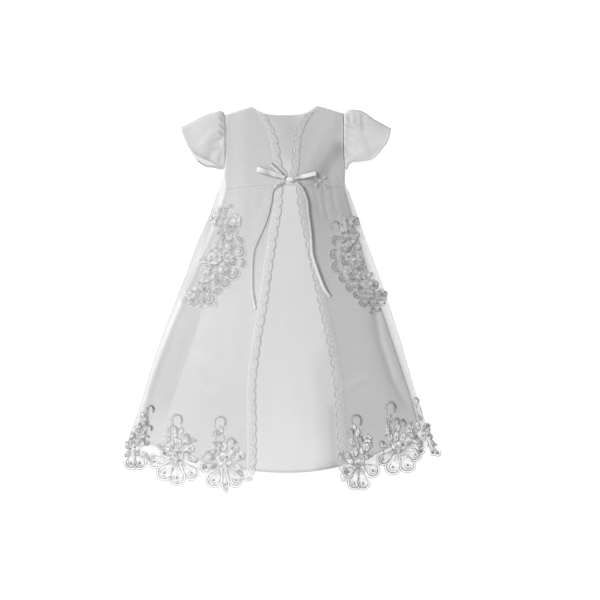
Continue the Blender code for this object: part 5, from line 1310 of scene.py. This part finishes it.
def loopPiece(side, start, tip, width):
    # out from the knot over the top, round the tip and back beneath
    start, tip = np.array(start), np.array(tip)
    along = (tip - start) / np.linalg.norm(tip - start)
    last = math.cos(math.pi * bow["loopTurn"])
    turn = (2.0 * shares(48) - 1.0) * math.pi * bow["loopTurn"]
    reach = (np.cos(turn) - last) / (1.0 - last)
    swell = np.sin(turn) * (bow["loopNeck"] + (1.0 - bow["loopNeck"]) * reach**0.8)
    share = (shares(8) - 0.5)[:, None]
    wide = width * (bow["loopPinch"] + (1.0 - bow["loopPinch"]) * softStep(0.0, 0.35, reach))
    plan = start + np.outer(reach, tip - start) + np.array([-along[1], along[0]]) * (share * wide)[..., None]
    z = swell * bow["loopArch"] / 2 - 2.0 * share**2 * np.sign(swell) * (1 - reach)
    z = z + (pileNear(plan[..., 0], plan[..., 1], 1.0) + 0.45 - z).max()
    points = np.dstack([plan, z])
    layPiece("bow_loop_" + side, points[::-1], "ribbon", lambda x, y: 1.0 - strokesAt(bow["loopShade"], x, y),
             thick=bow["thick"], piled=False)
    return points


for name, shape in bow["tails"].items():
    ribbonPiece(name, *shape)
loops = [loopPiece(side, *shape) for side, shape in bow["loops"].items()]
for points in loops:
    addToPile(points)


def rounded(value):
    return np.sign(value) * np.abs(value) ** bow["knotRound"]


# The knot: a short band of ribbon drawn tight over the middle, with folds round it.
turn = shares(40)[:, None] * math.tau
side = 2.0 * shares(24) - 1.0
size = np.array(bow["knotSize"]) / 2
girth = np.maximum(1.0 - np.abs(side) ** 2.6, 0.0) ** 0.42
girth = girth * (1.0 - bow["knotFolds"] * np.cos(side * 11.0) ** 2)
x, y = bow["knot"]
low = pileAt(x, y + size[1])
plan = pair(x + side * size[0], y + rounded(np.cos(turn)) * girth * size[1])
points = np.dstack([plan, rounded(np.sin(turn)) * girth * size[2] + low + size[2] + 0.3])
layPiece("bow_knot", points[::-1], "ribbon", bow["knotTone"], closed=True, piled=False)
print("bow tied")


# Stitch rows along the hems and seams: each stitch is a short raised thread.
stitching = {"pitch": 3.2, "length": 2.0, "thread": 0.22, "bow": (-0.02, 0.12, -0.02), "cuff": 0.95}
rows = [skirtFront[:, -3], bodiceFront[:, 2], skirtFront[2:-2, 1], bodiceFront[3, 3:-1],
        bodiceFront[-4, 3:-1], skirtFront[3, 2:-4], skirtFront[-4, 2:-4]]
for shape in sleeves.values():
    cuff = sleevePoints(shape, np.linspace(0.06, 0.94, 60), np.array([stitching["cuff"]]), np.zeros(60, bool))
    rows.append(cuff[:, 0] + (0.0, 0.0, 0.05))
stitches = newWork()
for row in rows:
    steps = travelled(row[:, :2])
    for start in np.arange(0.0, steps[-1] - stitching["length"], stitching["pitch"]):
        x, y, z = (np.interp(start + stitching["length"] * shares(2), steps, row[:, k]) for k in range(3))
        addCord(stitches, pair(x, y), stitching["thread"], sides=4, taper=0.7, z=z + stitching["bow"])
workPiece("stitching", stitches, ("thread",), "satin")
print("stitch rows sewn")


# Each sheet as it was cut, in metres: width, length and flat area, how it is held, and what it rests on.
sheets = {
    "overlay_back_bodice": (0.225, 0.148, 0.0265, "laid"),
    "overlay_back_skirt": (0.516, 0.496, 0.182, "laid"),
    "dress_back_bodice": (0.211, 0.146, 0.0272, "laid", "overlay_back_bodice"),
    "dress_back_skirt": (0.502, 0.503, 0.176, "laid", "overlay_back_skirt"),
    "dress_front_bodice": (0.211, 0.147, 0.0278, "laid", "dress_back_bodice"),
    "dress_front_skirt": (0.520, 0.505, 0.186, "gathered", "dress_back_skirt"),
    "sleeve_left": (0.200, 0.078, 0.0115, "gathered"),
    "sleeve_right": (0.205, 0.082, 0.0119, "gathered"),
    "cuff_lace_left": (0.037, 0.010, 0.00013, "laid", "sleeve_left"),
    "overlay_front_bodice_left": (0.117, 0.147, 0.0119, "laid", "dress_front_bodice"),
    "overlay_front_bodice_right": (0.097, 0.145, 0.0103, "laid", "dress_front_bodice"),
    "overlay_front_skirt_left": (0.271, 0.518, 0.0825, "laid", "dress_front_skirt"),
    "overlay_front_skirt_right": (0.235, 0.518, 0.0603, "laid", "dress_front_skirt"),
    "bow_tail_left": (0.010, 0.268, 0.00081, "laid", "overlay_front_skirt_left"),
    "bow_tail_right": (0.010, 0.220, 0.00115, "laid", "overlay_front_skirt_right"),
    "bow_end_left": (0.010, 0.030, 0.00016, "laid", "overlay_front_bodice_left"),
    "bow_loop_left": (0.010, 0.100, 0.00081, "folded", "overlay_front_bodice_left"),
    "bow_loop_right": (0.010, 0.078, 0.00054, "folded", "overlay_front_bodice_right"),
    "bow_knot": (0.012, 0.022, 0.0002, "folded", "bow_tail_left", "bow_tail_right"),
    "waist_sprig": (0.032, 0.032, 0.0006, "laid", "overlay_front_bodice_right"),
    "side_lace_left": (0.110, 0.180, 0.0107, "laid", "overlay_front_skirt_left"),
    "side_lace_right": (0.098, 0.176, 0.0084, "laid", "overlay_front_skirt_right"),
    "trim_skirt_left": (0.016, 0.522, 0.0079, "laid", "overlay_front_skirt_left"),
    "trim_skirt_right": (0.016, 0.530, 0.0079, "laid", "overlay_front_skirt_right"),
    "trim_bodice_left": (0.014, 0.130, 0.0016, "laid", "overlay_front_bodice_left"),
    "trim_bodice_right": (0.014, 0.130, 0.0016, "laid", "overlay_front_bodice_right"),
    "hem_lace_1": (0.056, 0.110, 0.0027, "laid", "overlay_front_skirt_left"),
    "hem_lace_2": (0.093, 0.128, 0.0065, "laid", "overlay_front_skirt_left"),
    "hem_lace_3": (0.083, 0.132, 0.0062, "laid", "overlay_front_skirt_left"),
    "hem_lace_4": (0.065, 0.138, 0.0052, "laid", "overlay_front_skirt_right"),
    "hem_lace_5": (0.089, 0.127, 0.0063, "laid", "overlay_front_skirt_right"),
    "hem_lace_6": (0.051, 0.113, 0.0018, "laid", "overlay_front_skirt_right"),
}
sewnOn = {"dress_front_skirt": "stitching", "overlay_front_skirt_left": "rolled_hem_skirtLeft",
          "overlay_front_skirt_right": "rolled_hem_skirtRight"}      # beside each motif's own cords
for node, (width, length, area, held, *restsOn) in sheets.items():
    name = sewnOn.get(node, node + "_cords")
print("sheets declared:", len(sheets))


# Pale ground, soft light from the upper left and above, and the camera straight over the gown.
studio = {
    "floor": {"Base Color": (0.22, 0.22, 0.22, 1.0), "Roughness": 0.95, "Specular IOR Level": 0.1,
              "Emission Color": (1.0, 1.0, 1.0, 1.0), "Emission Strength": 0.86},
    "floorZ": -0.0006, "floorReach": 6.0, "world": {"Color": (1.0, 1.0, 1.0, 1.0), "Strength": 0.40},
    "lights": {"key": ((-2.9, 1.5, 2.1), 0.9, 118.0), "fill": ((-0.2, -1.3, 2.4), 2.0, 20.0)},
    "aim": (0.0, 0.02, 0.0), "camera": (0.0322, -0.000875, 2.917), "lens": 100.0,
}                                                  # lights: place, size and watts
ground = bpy.data.meshes.new("ground")
ground.from_pydata([(x * studio["floorReach"], y * studio["floorReach"], studio["floorZ"])
                    for x, y in ((-1, -1), (1, -1), (1, 1), (-1, 1))], [], [(0, 1, 2, 3)])
floor = addObject("ground", ground)
paper = bpy.data.materials.new("paper")
paper.use_nodes = True
setInputs(paper.node_tree.nodes["Principled BSDF"], studio["floor"])
ground.materials.append(paper)

for name, (place, size, watts) in studio["lights"].items():
    lamp = bpy.data.lights.new(name, "AREA")
    lamp.size, lamp.energy = size, watts
    light = addObject(name, lamp)
    light.location = place
    light.rotation_mode = "QUATERNION"
    light.rotation_quaternion = Vector(np.subtract(studio["aim"], place)).to_track_quat("-Z", "Y")

world = bpy.data.worlds.new("studio")
world.use_nodes = True
setInputs(world.node_tree.nodes["Background"], studio["world"])
scene = bpy.context.scene
scene.world = world
scene.view_settings.view_transform = "Standard"

lens = bpy.data.cameras.new("camera")
lens.lens, lens.sensor_width = studio["lens"], 36.0
lens.clip_start, lens.clip_end = 0.1, 20.0
camera = addObject("camera", lens)
camera.location = studio["camera"]
scene.camera = camera
print("studio ready")
